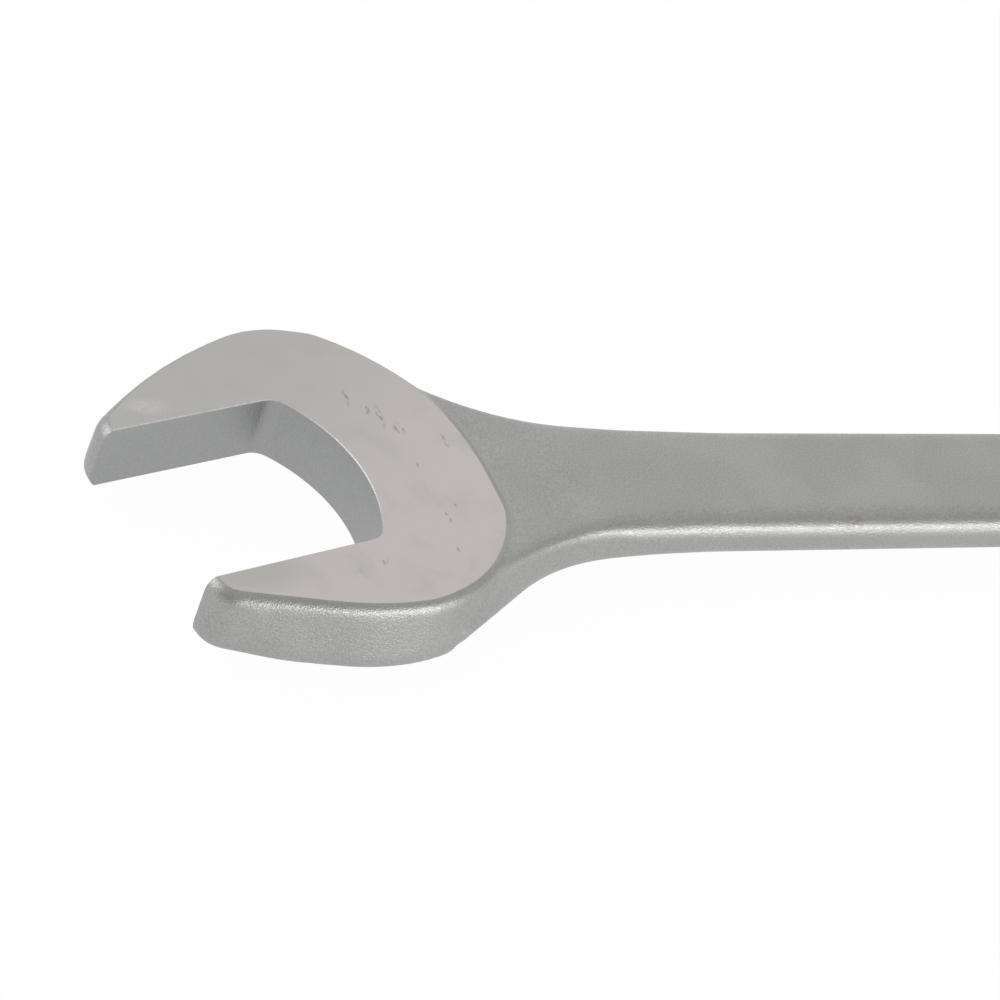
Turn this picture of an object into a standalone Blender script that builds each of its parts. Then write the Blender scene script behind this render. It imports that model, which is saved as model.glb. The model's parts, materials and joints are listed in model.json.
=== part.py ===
"""Combination wrench: a forged open jaw and shank with a reversible ratchet ring.

Metres, +Z up. The tool lies flat along X, its jaw towards -X and its ring
towards +X. The origin is below its middle, on the surface that it lies on.
"""

import math

import bmesh
import bpy
from mathutils import Matrix, Vector
from mathutils.geometry import convex_hull_2d

# Both ends
NUT_ACROSS_FLATS = 0.0320
OVERALL_LENGTH = 0.4000
RUNNING_GAP = 0.0003

# Open end
JAW_CLEARANCE = 0.0002
JAW_ANGLE_DEG = 15.0
JAW_REACH = 0.0308
THROAT_DEPTH = 0.0053
JAW_CORNER_RADIUS = 0.0034
CHEEK_WIDTH = 0.0168
HEAD_BACK = 0.0285
TIP_RADIUS = 0.0046
TIP_INSET = 0.0008
HEAD_THICKNESS = 0.0113
HEAD_EDGE_RADIUS = 0.00175

# Shank
SHANK_WIDTH = 0.0236
SHANK_THICKNESS = 0.0086
SHANK_EDGE_RADIUS = 0.0036
HEAD_NECK_RADIUS = 0.0440
RING_NECK_RADIUS = 0.0600
RING_RAMP_LENGTH = 0.0350
FACE_STEP = 0.0004
NECK_SINK = 0.0006

# Ratchet housing
HOUSING_WALL = 0.0080
HOUSING_HEIGHT = 0.0190
HOUSING_EDGE_RADIUS = 0.0025
LIP_HEIGHT = 0.0026
LIP_WIDTH = 0.0021
TOP_LAND = 0.0009
CLIP_GROOVE_DEPTH = 0.0012
POCKET_MARGIN = 0.0011

# Drive ring, washers and retaining clip
DRIVE_CLEARANCE = 0.00015
LEAD_IN = 0.0008
RING_WALL = 0.0030
TOOTH_COUNT = 72
TOOTH_HEIGHT = 0.0010
TOOTH_GAP = 0.0004
WASHER_THICKNESS = 0.0008
RING_CLIP_THICKNESS = 0.0014
RING_CLIP_OPENING_DEG = 24.0

# Pawl and its pin
PAWL_SETBACK = 0.0072
PAWL_HEIGHT = 0.0100
PAWL_SWING_DEG = 8.0
PAWL_DEPTH = 0.0034
PAWL_RELIEF = 0.0012
NOSE_ANGLE_DEG = 20.0
NOSE_SPAN_DEG = 12.0
TAIL_LENGTH = 0.0050
TAIL_WIDTH = 0.0092
PIN_RADIUS = 0.0020
PIN_ROOF = 0.0022

# Reversing lever, plunger and spring
LEVER_SWING_DEG = 50.0
LEVER_THICKNESS = 0.0028
LEVER_DISC_RADIUS = 0.0075
LEVER_TAB_LENGTH = 0.0150
LEVER_TAB_RADIUS = 0.0040
LEVER_EDGE_RADIUS = 0.0008
LEVER_LAND = 0.0085
STEM_RADIUS = 0.0050
STEM_FOOT_RADIUS = 0.0040
STEM_INSET = 0.0003
LEVER_CLIP_RECESS = 0.0019
LEVER_CLIP_THICKNESS = 0.0008
LEVER_CLIP_WIDTH = 0.0030
LEVER_CLIP_GROOVE = 0.0010
PLUNGER_RADIUS = 0.0018
PLUNGER_LENGTH = 0.0060
PLUNGER_PROJECTION = 0.0022
SPRING_LENGTH = 0.0042
SPRING_WIRE_RADIUS = 0.00025
SPRING_TURNS = 6

# Smoothness of the round surfaces
ARC_STEP_DEG = 6.0
EDGE_STEPS = 3

STEEL = ((0.60, 0.60, 0.59, 1.0), 1.0, 0.34)
BRIGHT_STEEL = ((0.66, 0.66, 0.65, 1.0), 1.0, 0.25)
DARK_STEEL = ((0.22, 0.22, 0.23, 1.0), 1.0, 0.38)

# Sizes that follow from the ones above
JAW_HALF = (NUT_ACROSS_FLATS + JAW_CLEARANCE) / 2
JAW_ANGLE = math.radians(JAW_ANGLE_DEG)
HEAD_RADIUS = JAW_HALF + CHEEK_WIDTH
MID_Z = HOUSING_HEIGHT / 2
SOCKET_FLAT = (NUT_ACROSS_FLATS + DRIVE_CLEARANCE) / 2
SOCKET_POINT = SOCKET_FLAT / math.cos(math.pi / 6)
SOCKET_VALLEY = SOCKET_FLAT / math.cos(math.pi / 12)
TOOTH_ROOT = SOCKET_POINT + RING_WALL
TOOTH_TIP = TOOTH_ROOT + TOOTH_HEIGHT
BORE_RADIUS = TOOTH_TIP + RUNNING_GAP
LIP_RADIUS = BORE_RADIUS - LIP_WIDTH
JOURNAL_RADIUS = LIP_RADIUS - RUNNING_GAP
HOUSING_RADIUS = BORE_RADIUS + HOUSING_WALL
GROOVE_RADIUS = BORE_RADIUS + CLIP_GROOVE_DEPTH
LIP_TOP = -HOUSING_HEIGHT / 2 + LIP_HEIGHT
GROOVE_TOP = HOUSING_HEIGHT / 2 - TOP_LAND
RING_CLIP_BASE = GROOVE_TOP - RUNNING_GAP - RING_CLIP_THICKNESS
GROOVE_BASE = RING_CLIP_BASE - RUNNING_GAP
TEETH_BASE = LIP_TOP + 2 * RUNNING_GAP + WASHER_THICKNESS
TEETH_TOP = RING_CLIP_BASE - 2 * RUNNING_GAP - WASHER_THICKNESS
LAND_Z = HOUSING_HEIGHT / 2 - FACE_STEP
POCKET_HALF = PAWL_HEIGHT / 2 + RUNNING_GAP
PAWL_PIVOT = BORE_RADIUS + PAWL_SETBACK
PAWL_HALF_SWING = math.radians(PAWL_SWING_DEG) / 2
LEVER_HALF_SWING = math.radians(LEVER_SWING_DEG) / 2
PLUNGER_REACH = STEM_RADIUS + PLUNGER_PROJECTION
LEVER_AXIS = PAWL_PIVOT + TAIL_LENGTH + RUNNING_GAP + PLUNGER_REACH
SPRING_SEAT = PLUNGER_REACH - PLUNGER_LENGTH - 2 * RUNNING_GAP - SPRING_LENGTH




def tip_centre(side):
    """Centre of one jaw tip's arc, from the head's centre along and across the shank."""
    along, across = TIP_RADIUS - JAW_REACH, side * (JAW_HALF + TIP_INSET)
    return Matrix.Rotation(JAW_ANGLE, 2) @ Vector((along, across))


HEAD_X = TIP_RADIUS - OVERALL_LENGTH / 2 - tip_centre(1).x
RING_X = OVERALL_LENGTH / 2 - HOUSING_RADIUS

HEAD_FRAME = Matrix.Translation((HEAD_X, 0.0, MID_Z))
JAW_FRAME = HEAD_FRAME @ Matrix.Rotation(JAW_ANGLE, 4, "Z")
RING_FRAME = (Matrix.Translation((RING_X, 0.0, MID_Z))
              @ Matrix.Rotation(math.pi, 4, "Z"))


def arc(cx, cy, radius, start, end, step_deg=ARC_STEP_DEG):
    """Points on an arc from one angle to another, both ends included."""
    count = max(2, math.ceil(abs(end - start) / math.radians(step_deg)))
    angles = [start + (end - start) * i / count for i in range(count + 1)]
    return [(cx + radius * math.cos(a), cy + radius * math.sin(a)) for a in angles]


def circle(radius, cx=0.0, cy=0.0, step_deg=ARC_STEP_DEG):
    """Points on a full circle."""
    return arc(cx, cy, radius, 0.0, 2 * math.pi, step_deg)[:-1]


def new_object(name, mesh, collection):
    """Link a mesh as an object."""
    obj = bpy.data.objects.new(name, mesh)
    collection.objects.link(obj)
    return obj


def to_mesh(obj, name, collection):
    """Replace an object by its evaluated mesh, with its seams joined."""
    graph = bpy.context.evaluated_depsgraph_get()
    mesh = bpy.data.meshes.new_from_object(obj.evaluated_get(graph))
    mesh.transform(obj.matrix_world)
    bm = bmesh.new()
    bm.from_mesh(mesh)
    bmesh.ops.remove_doubles(bm, verts=bm.verts, dist=0.000002)
    bmesh.ops.recalc_face_normals(bm, faces=bm.faces)
    bm.to_mesh(mesh)
    bm.free()
    bpy.data.objects.remove(obj)
    return new_object(name, mesh, collection)


def plate(name, loops, low, high, collection, edge_radius=0.0):
    """A flat outline, with any inner loops as holes, between two heights."""
    curve = bpy.data.curves.new(name, "CURVE")
    curve.dimensions = "2D"
    curve.fill_mode = "BOTH"
    curve.extrude = (high - low) / 2 - edge_radius
    curve.bevel_depth = edge_radius
    curve.bevel_resolution = EDGE_STEPS
    curve.offset = -edge_radius
    for points in loops:
        spline = curve.splines.new("POLY")
        spline.points.add(len(points) - 1)
        for point, (x, y) in zip(spline.points, points):
            point.co = (x, y, 0.0, 1.0)
        spline.use_cyclic_u = True
    obj = new_object(name, curve, collection)
    obj.location.z = (low + high) / 2
    bpy.context.view_layer.update()
    return to_mesh(obj, name, collection)


def turned(name, profile, collection, step_deg=ARC_STEP_DEG):
    """A solid turned about Z from (radius, height) points, top to bottom."""
    mesh = bpy.data.meshes.new(name)
    top, bottom = profile[0], profile[-1]
    points = ([(0.0, top[1])] if top[0] else []) + list(profile) + [(0.0, bottom[1])]
    bm = bmesh.new()
    verts = [bm.verts.new((r, 0.0, z)) for r, z in points]
    for first, second in zip(verts, verts[1:]):
        bm.edges.new((first, second))
    bm.to_mesh(mesh)
    bm.free()
    obj = new_object(name, mesh, collection)
    screw = obj.modifiers.new("Screw", "SCREW")
    screw.axis = "Z"
    screw.angle = 2 * math.pi
    screw.steps = screw.render_steps = round(360 / step_deg)
    screw.use_merge_vertices = True
    screw.merge_threshold = 0.000002
    bpy.context.view_layer.update()
    return to_mesh(obj, name, collection)


def combine(target, other, operation):
    """Join another object to the target, or cut it out of the target."""
    boolean = target.modifiers.new(operation.title(), "BOOLEAN")
    boolean.operation = operation
    boolean.solver = "EXACT"
    boolean.object = other
    bpy.context.view_layer.update()
    graph = bpy.context.evaluated_depsgraph_get()
    mesh = bpy.data.meshes.new_from_object(target.evaluated_get(graph))
    target.modifiers.clear()
    target.data = mesh
    bm = bmesh.new()
    bm.from_mesh(mesh)
    bmesh.ops.remove_doubles(bm, verts=bm.verts, dist=0.000002)
    bmesh.ops.dissolve_degenerate(bm, edges=bm.edges, dist=0.000002)
    bm.to_mesh(mesh)
    bm.free()
    if operation == "UNION":
        bpy.data.objects.remove(other)
    else:
        other.hide_render = True
        other.display_type = "WIRE"
    bpy.context.view_layer.update()
    return target


def finish(obj, frame, pivot, finish_values):
    """Put a piece in the world with its origin on its pivot, and give it steel."""
    world = frame @ Vector(pivot)
    obj.data.transform(Matrix.Translation(-world) @ frame)
    obj.location = world
    colour, metallic, roughness = finish_values
    material = bpy.data.materials.new(obj.name)
    material.use_nodes = True
    shader = material.node_tree.nodes["Principled BSDF"]
    shader.inputs["Base Color"].default_value = colour
    shader.inputs["Metallic"].default_value = metallic
    shader.inputs["Roughness"].default_value = roughness
    obj.data.materials.clear()
    obj.data.materials.append(material)
    return obj


def head_outline():
    """The jaw head's outline: an oval and two tip arcs, joined by straight flanks."""
    points = [(HEAD_BACK * x, HEAD_RADIUS * y) for x, y in circle(1.0)]
    for side in (1, -1):
        tip = tip_centre(side)
        points += circle(TIP_RADIUS, tip.x, tip.y, 2 * ARC_STEP_DEG)
    return [points[i] for i in convex_hull_2d(points)]


def jaw_outline():
    """The jaw's opening: two flats, two corner arcs and the throat's arc."""
    throat_radius = (JAW_HALF ** 2 + THROAT_DEPTH ** 2) / (2 * THROAT_DEPTH)
    throat_x = THROAT_DEPTH - throat_radius
    corner_y = JAW_HALF - JAW_CORNER_RADIUS
    span = throat_radius - JAW_CORNER_RADIUS
    corner_x = throat_x + math.sqrt(span ** 2 - corner_y ** 2)
    turn = math.atan2(corner_y, corner_x - throat_x)
    half = ([(-JAW_REACH - HEAD_THICKNESS, JAW_HALF)]
            + arc(corner_x, corner_y, JAW_CORNER_RADIUS, math.pi / 2, turn, 2 * ARC_STEP_DEG)
            + arc(throat_x, 0.0, throat_radius, turn, 0.0)[1:])
    return half + [(x, -y) for x, y in reversed(half[:-1])]


def neck():
    """Where the two necks start and end along X, with a function for the half width."""
    half = SHANK_WIDTH / 2
    head_r = HEAD_RADIUS - NECK_SINK
    ring_r = HOUSING_RADIUS - NECK_SINK
    head_run = math.sqrt((head_r + HEAD_NECK_RADIUS) ** 2 - (half + HEAD_NECK_RADIUS) ** 2)
    ring_run = math.sqrt((ring_r + RING_NECK_RADIUS) ** 2 - (half + RING_NECK_RADIUS) ** 2)
    head_start = HEAD_X + head_run * head_r / (head_r + HEAD_NECK_RADIUS)
    head_end = HEAD_X + head_run
    ring_start = RING_X - ring_run
    ring_end = RING_X - ring_run * ring_r / (ring_r + RING_NECK_RADIUS)

    def half_width(x):
        if x < head_start:
            return math.sqrt(head_r ** 2 - (x - HEAD_X) ** 2)
        if x < head_end:
            return half + HEAD_NECK_RADIUS - math.sqrt(
                HEAD_NECK_RADIUS ** 2 - (head_end - x) ** 2)
        if x > ring_end:
            return math.sqrt(ring_r ** 2 - (x - RING_X) ** 2)
        if x > ring_start:
            return half + RING_NECK_RADIUS - math.sqrt(
                RING_NECK_RADIUS ** 2 - (x - ring_start) ** 2)
        return half

    return head_start, head_end, ring_start, ring_end, half_width


def eased(value):
    """A ramp from 0 to 1 with level ends."""
    value = min(1.0, max(0.0, value))
    return value * value * (3.0 - 2.0 * value)


def bar_section(x, half_width, half_height):
    """One closed, round-cornered cross-section of the shank."""
    radius = min(SHANK_EDGE_RADIUS, 0.95 * half_height)
    step = 90 / (EDGE_STEPS + 1)
    corners = ((half_width - radius, half_height - radius, 0.0),
               (radius - half_width, half_height - radius, 0.5),
               (radius - half_width, radius - half_height, 1.0),
               (half_width - radius, radius - half_height, 1.5))
    points = []
    for y, z, turn in corners:
        points += arc(y, z, radius, turn * math.pi, (turn + 0.5) * math.pi, step)
    return [Vector((x, y, MID_Z + z)) for y, z in points]


def shank_bar(collection):
    """The shank with its two necks, lofted through cross-sections along X."""
    head_start, head_end, ring_start, ring_end, half_width = neck()
    ramp_top = RING_X - LEVER_AXIS - LEVER_LAND
    ramp_base = ramp_top - RING_RAMP_LENGTH
    inside = HEAD_X + HEAD_BACK / 3
    head_h = HEAD_THICKNESS / 2 - FACE_STEP
    shank_h = SHANK_THICKNESS / 2

    def half_height(x):
        if x < head_end:
            return shank_h + (head_h - shank_h) * eased((head_end - x) / (head_end - inside))
        return shank_h + (LAND_Z - shank_h) * eased((x - ramp_base) / RING_RAMP_LENGTH)

    def spread(first, last, count):
        return [first + (last - first) * i / count for i in range(count)]

    level = min(ring_start, ramp_base)
    stations = (spread(inside, head_start, 5) + spread(head_start, head_end, 10)
                + [head_end] + spread(level, ring_end, 18) + [ring_end])
    sections = [bar_section(x, half_width(x), half_height(x)) for x in stations]
    sections.append(bar_section(RING_X, SHANK_WIDTH / 2, LAND_Z))

    mesh = bpy.data.meshes.new("shank_bar")
    bm = bmesh.new()
    loops = []
    for section in sections:
        verts = [bm.verts.new(point) for point in section]
        edges = [bm.edges.new((verts[i - 1], verts[i])) for i in range(len(verts))]
        loops.append((verts, edges))
    for (_, lower), (_, upper) in zip(loops, loops[1:]):
        bmesh.ops.bridge_loops(bm, edges=lower + upper)
    bm.faces.new(loops[0][0])
    bm.faces.new(loops[-1][0])
    bmesh.ops.recalc_face_normals(bm, faces=bm.faces)
    bm.to_mesh(mesh)
    bm.free()
    return new_object("shank_bar", mesh, collection)


def tooth_outline(grow):
    """The drive ring's teeth, with their radii enlarged by a given amount."""
    pitch = 2 * math.pi / TOOTH_COUNT
    points = []
    for tooth in range(TOOTH_COUNT):
        for radius, share in ((TOOTH_ROOT, -0.46), (TOOTH_TIP, -0.06),
                              (TOOTH_TIP, 0.06), (TOOTH_ROOT, 0.46)):
            angle = (tooth + share) * pitch
            points.append(((radius + grow) * math.cos(angle),
                           (radius + grow) * math.sin(angle)))
    return points


def socket_outline():
    """The 12-point socket, two hexagons turned by 30 degrees."""
    points = []
    for corner in range(24):
        radius = SOCKET_VALLEY if corner % 2 else SOCKET_POINT
        angle = corner * math.pi / 12
        points.append((radius * math.cos(angle), radius * math.sin(angle)))
    return points


def polar(radius, degrees):
    """A point at a radius and an angle about the ring's axis."""
    angle = math.radians(degrees)
    return Vector((radius * math.cos(angle), radius * math.sin(angle)))


def rocked(point, angle):
    """A point turned about the pawl's pin."""
    pin = Vector((PAWL_PIVOT, 0.0))
    return pin + Matrix.Rotation(angle, 2) @ (point - pin)


def pawl_outline():
    """The pawl in its middle position: two noses, a waist and a hollow tail."""
    inner = NOSE_ANGLE_DEG - NOSE_SPAN_DEG / 2
    outer = NOSE_ANGLE_DEG + NOSE_SPAN_DEG / 2
    relief = TOOTH_TIP + TOOTH_GAP + PAWL_RELIEF
    back = TOOTH_TIP + PAWL_DEPTH
    seat = PLUNGER_REACH + RUNNING_GAP
    spread = math.asin(TAIL_WIDTH / 2 / (seat + RUNNING_GAP))
    nose = [rocked(polar(radius, angle), -PAWL_HALF_SWING) for radius, angle in
            ((relief, inner), (TOOTH_ROOT, inner), (TOOTH_ROOT, outer), (back, outer))]
    front = [polar(relief, inner * i / 3) for i in range(3)]
    tail_x = LEVER_AXIS - seat * math.cos(spread)
    half = [tuple(p) for p in front[1:] + nose]
    half += [(PAWL_PIVOT, TAIL_WIDTH / 2 + RUNNING_GAP), (tail_x, TAIL_WIDTH / 2)]
    half += arc(LEVER_AXIS, 0.0, seat, math.pi - spread, math.pi)[:-1]
    return ([tuple(front[0])] + half + [(LEVER_AXIS - seat, 0.0)]
            + [(x, -y) for x, y in reversed(half)])


def pocket_outline():
    """The pawl's pocket: wide at the noses, narrow at the tail, round at the stem."""
    back = rocked(polar(TOOTH_TIP + PAWL_DEPTH, NOSE_ANGLE_DEG + NOSE_SPAN_DEG / 2),
                  -2 * PAWL_HALF_SWING)
    wide = back.y + POCKET_MARGIN
    narrow = max(TAIL_WIDTH / 2, STEM_RADIUS) + POCKET_MARGIN
    half = [(LIP_RADIUS * math.cos(math.asin(wide / LIP_RADIUS)), wide),
            (back.x + POCKET_MARGIN, wide),
            (PAWL_PIVOT + 2 * POCKET_MARGIN, narrow)]
    half += arc(LEVER_AXIS, 0.0, narrow, math.pi / 2, 0.0, 2 * ARC_STEP_DEG)
    return half + [(x, -y) for x, y in reversed(half[:-1])]


def make_body(parts, cutters):
    """The forging with the jaw, bore, pocket and holes cut into it."""
    body = shank_bar(parts)
    body.name = "forged_body"
    head = plate("head_blank", [head_outline()], -HEAD_THICKNESS / 2,
                 HEAD_THICKNESS / 2, parts, HEAD_EDGE_RADIUS)
    head.data.transform(HEAD_FRAME)
    combine(body, head, "UNION")
    boss = plate("boss_blank", [circle(HOUSING_RADIUS)], -HOUSING_HEIGHT / 2,
                 HOUSING_HEIGHT / 2, parts, HOUSING_EDGE_RADIUS)
    boss.data.transform(RING_FRAME)
    combine(body, boss, "UNION")

    jaw = plate("jaw_cutter", [jaw_outline()], -HEAD_THICKNESS, HEAD_THICKNESS, cutters)
    jaw.data.transform(JAW_FRAME)
    combine(body, jaw, "DIFFERENCE")

    past = HOUSING_HEIGHT
    bore = turned("bore_cutter", [
        (BORE_RADIUS, past), (BORE_RADIUS, GROOVE_TOP), (GROOVE_RADIUS, GROOVE_TOP),
        (GROOVE_RADIUS, GROOVE_BASE), (BORE_RADIUS, GROOVE_BASE), (BORE_RADIUS, LIP_TOP),
        (LIP_RADIUS, LIP_TOP), (LIP_RADIUS, -past)], cutters)
    bore.data.transform(RING_FRAME)
    combine(body, bore, "DIFFERENCE")

    pocket = plate("pocket_cutter", [pocket_outline()], -POCKET_HALF, POCKET_HALF, cutters)
    pocket.data.transform(RING_FRAME)
    combine(body, pocket, "DIFFERENCE")

    clip_floor = LEVER_CLIP_RECESS - LAND_Z
    clip_outer = STEM_FOOT_RADIUS - LEVER_CLIP_GROOVE + RUNNING_GAP + LEVER_CLIP_WIDTH
    stem = turned("stem_cutter", [
        (STEM_RADIUS + RUNNING_GAP, past), (STEM_RADIUS + RUNNING_GAP, 0.0),
        (STEM_FOOT_RADIUS + RUNNING_GAP, 0.0), (STEM_FOOT_RADIUS + RUNNING_GAP, clip_floor),
        (clip_outer + RUNNING_GAP, clip_floor), (clip_outer + RUNNING_GAP, -past)],
        cutters, 2 * ARC_STEP_DEG)
    stem.data.transform(RING_FRAME @ Matrix.Translation((LEVER_AXIS, 0.0, 0.0)))
    combine(body, stem, "DIFFERENCE")

    pin = turned("pin_cutter", [
        (PIN_RADIUS + RUNNING_GAP, LAND_Z - PIN_ROOF),
        (PIN_RADIUS + RUNNING_GAP, -past)], cutters, 3 * ARC_STEP_DEG)
    pin.data.transform(RING_FRAME @ Matrix.Translation((PAWL_PIVOT, 0.0, 0.0)))
    combine(body, pin, "DIFFERENCE")
    return finish(body, Matrix.Identity(4), (0.0, 0.0, 0.0), STEEL)


def make_drive_ring(parts, cutters):
    """The toothed ring with two journals and the 12-point socket."""
    half = HOUSING_HEIGHT / 2 - RUNNING_GAP
    ring = turned("drive_ring", [(JOURNAL_RADIUS, half), (JOURNAL_RADIUS, -half)], parts)
    teeth = plate("teeth_blank", [tooth_outline(0.0)], TEETH_BASE, TEETH_TOP, parts)
    combine(ring, teeth, "UNION")
    socket = plate("socket_cutter", [socket_outline()], -HOUSING_HEIGHT, HOUSING_HEIGHT, cutters)
    combine(ring, socket, "DIFFERENCE")
    mouth = SOCKET_POINT + RUNNING_GAP
    for side in (1, -1):
        lead = turned("lead_in_cutter", [
            (mouth + HOUSING_HEIGHT / 2, half + HOUSING_HEIGHT / 2), (mouth - LEAD_IN * 2, half - LEAD_IN * 2)],
            cutters)
        if side < 0:
            lead.data.transform(Matrix.Rotation(math.pi, 4, "X"))
        combine(ring, lead, "DIFFERENCE")
    return finish(ring, RING_FRAME, (0.0, 0.0, 0.0), BRIGHT_STEEL)


def make_washer(name, base, parts):
    """One thrust washer beside the drive ring's teeth."""
    loops = [circle(BORE_RADIUS - RUNNING_GAP), circle(JOURNAL_RADIUS + RUNNING_GAP)]
    washer = plate(name, loops, base, base + WASHER_THICKNESS, parts)
    return finish(washer, RING_FRAME, (0.0, 0.0, 0.0), BRIGHT_STEEL)


def split_ring(outer, inner, opening_deg, heading):
    """A split ring's outline, open about one heading."""
    half = math.radians(opening_deg) / 2
    start, end = heading + half, heading + 2 * math.pi - half
    return arc(0.0, 0.0, outer, start, end) + arc(0.0, 0.0, inner, end, start)


def make_ring_clip(parts):
    """The split ring that keeps the drive ring in the housing."""
    outline = split_ring(GROOVE_RADIUS - RUNNING_GAP, JOURNAL_RADIUS + RUNNING_GAP,
                         RING_CLIP_OPENING_DEG, math.pi)
    clip = plate("ring_retaining_clip", [outline], RING_CLIP_BASE,
                 RING_CLIP_BASE + RING_CLIP_THICKNESS, parts)
    return finish(clip, RING_FRAME, (0.0, 0.0, 0.0), DARK_STEEL)


def make_pawl(parts, cutters):
    """The rocker pawl, its teeth cut by the drive ring in both of its positions."""
    loops = [pawl_outline(), circle(PIN_RADIUS + RUNNING_GAP, PAWL_PIVOT, 0.0, 3 * ARC_STEP_DEG)]
    pawl = plate("pawl", loops, -PAWL_HEIGHT / 2, PAWL_HEIGHT / 2, parts)
    pin = Matrix.Translation((PAWL_PIVOT, 0.0, 0.0))
    for side in (1, -1):
        teeth = plate("pawl_teeth_cutter", [tooth_outline(TOOTH_GAP)],
                      -PAWL_HEIGHT, PAWL_HEIGHT, cutters)
        teeth.data.transform(
            pin @ Matrix.Rotation(-side * PAWL_HALF_SWING, 4, "Z") @ pin.inverted())
        combine(pawl, teeth, "DIFFERENCE")
    pawl.data.transform(pin @ Matrix.Rotation(PAWL_HALF_SWING, 4, "Z") @ pin.inverted())
    return finish(pawl, RING_FRAME, (PAWL_PIVOT, 0.0, 0.0), DARK_STEEL)


def make_pawl_pin(parts):
    """The dowel in the housing that the pawl rocks on."""
    pin = turned("pawl_pin", [(PIN_RADIUS, LAND_Z - PIN_ROOF - RUNNING_GAP),
                              (PIN_RADIUS, STEM_INSET - LAND_Z)], parts, 3 * ARC_STEP_DEG)
    pin.data.transform(Matrix.Translation((PAWL_PIVOT, 0.0, 0.0)))
    return finish(pin, RING_FRAME, (PAWL_PIVOT, 0.0, 0.0), BRIGHT_STEEL)


def lever_frame():
    """The lever's own frame at rest: its plunger points along X, to the pawl."""
    return (RING_FRAME @ Matrix.Translation((LEVER_AXIS, 0.0, 0.0))
            @ Matrix.Rotation(math.pi - LEVER_HALF_SWING, 4, "Z"))


def make_lever(parts, cutters):
    """The thumb lever with its stem, clip groove and plunger hole."""
    under = LAND_Z + RUNNING_GAP
    clip_floor = LEVER_CLIP_RECESS - LAND_Z
    groove = STEM_FOOT_RADIUS - LEVER_CLIP_GROOVE
    end = STEM_INSET - LAND_Z
    lever = turned("reversing_lever", [
        (STEM_RADIUS, under + LEVER_THICKNESS / 2), (STEM_RADIUS, RUNNING_GAP - POCKET_HALF),
        (STEM_FOOT_RADIUS, RUNNING_GAP - POCKET_HALF), (STEM_FOOT_RADIUS, clip_floor),
        (groove, clip_floor), (groove, clip_floor - LEVER_CLIP_THICKNESS - 2 * RUNNING_GAP),
        (STEM_FOOT_RADIUS, clip_floor - LEVER_CLIP_THICKNESS - 2 * RUNNING_GAP),
        (STEM_FOOT_RADIUS, end)], parts, 2 * ARC_STEP_DEG)
    lean = math.acos((LEVER_DISC_RADIUS - LEVER_TAB_RADIUS) / LEVER_TAB_LENGTH)
    outline = (arc(0.0, 0.0, LEVER_DISC_RADIUS, math.pi - lean, lean - math.pi)
               + arc(-LEVER_TAB_LENGTH, 0.0, LEVER_TAB_RADIUS, lean - math.pi, -lean - math.pi))
    tab = plate("lever_tab", [outline], under, under + LEVER_THICKNESS, parts, LEVER_EDGE_RADIUS)
    combine(lever, tab, "UNION")
    hole = turned("plunger_hole_cutter", [
        (PLUNGER_RADIUS + RUNNING_GAP, 2 * STEM_RADIUS),
        (PLUNGER_RADIUS + RUNNING_GAP, SPRING_SEAT - RUNNING_GAP)], cutters, 3 * ARC_STEP_DEG)
    hole.data.transform(Matrix.Rotation(math.pi / 2, 4, "Y"))
    combine(lever, hole, "DIFFERENCE")
    return finish(lever, lever_frame(), (0.0, 0.0, 0.0), BRIGHT_STEEL)


def make_lever_clip(parts):
    """The snap clip in the stem's groove, under the housing."""
    inner = STEM_FOOT_RADIUS - LEVER_CLIP_GROOVE + RUNNING_GAP
    top = LEVER_CLIP_RECESS - LAND_Z - RUNNING_GAP
    outline = split_ring(inner + LEVER_CLIP_WIDTH, inner, 4 * RING_CLIP_OPENING_DEG, 0.0)
    clip = plate("lever_clip", [outline], top - LEVER_CLIP_THICKNESS, top, parts)
    return finish(clip, lever_frame(), (0.0, 0.0, 0.0), DARK_STEEL)


def make_plunger(parts):
    """The domed pin that presses the pawl's tail to one side."""
    dome = [(PLUNGER_RADIUS * math.sin(i * math.pi / 10),
             PLUNGER_REACH - PLUNGER_RADIUS * (1 - math.cos(i * math.pi / 10)))
            for i in range(1, 6)]
    plunger = turned("detent_plunger", [(0.0, PLUNGER_REACH)] + dome
                     + [(PLUNGER_RADIUS, PLUNGER_REACH - PLUNGER_LENGTH)], parts, 3 * ARC_STEP_DEG)
    plunger.data.transform(Matrix.Rotation(math.pi / 2, 4, "Y"))
    return finish(plunger, lever_frame(), (0.0, 0.0, 0.0), BRIGHT_STEEL)


def make_spring(parts):
    """The coil spring between the plunger and the bottom of its hole."""
    curve = bpy.data.curves.new("detent_spring", "CURVE")
    curve.dimensions = "3D"
    curve.bevel_depth = SPRING_WIRE_RADIUS
    curve.bevel_resolution = 1
    curve.use_fill_caps = True
    mean = PLUNGER_RADIUS - SPRING_WIRE_RADIUS
    travel = SPRING_LENGTH - 2 * SPRING_WIRE_RADIUS
    count = 12 * SPRING_TURNS
    spline = curve.splines.new("POLY")
    spline.points.add(count)
    for i, point in enumerate(spline.points):
        angle = 2 * math.pi * SPRING_TURNS * i / count
        point.co = (SPRING_SEAT + SPRING_WIRE_RADIUS + travel * i / count,
                    mean * math.cos(angle), mean * math.sin(angle), 1.0)
    obj = new_object("detent_spring", curve, parts)
    bpy.context.view_layer.update()
    spring = to_mesh(obj, "detent_spring", parts)
    return finish(spring, lever_frame(), (0.0, 0.0, 0.0), DARK_STEEL)


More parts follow.
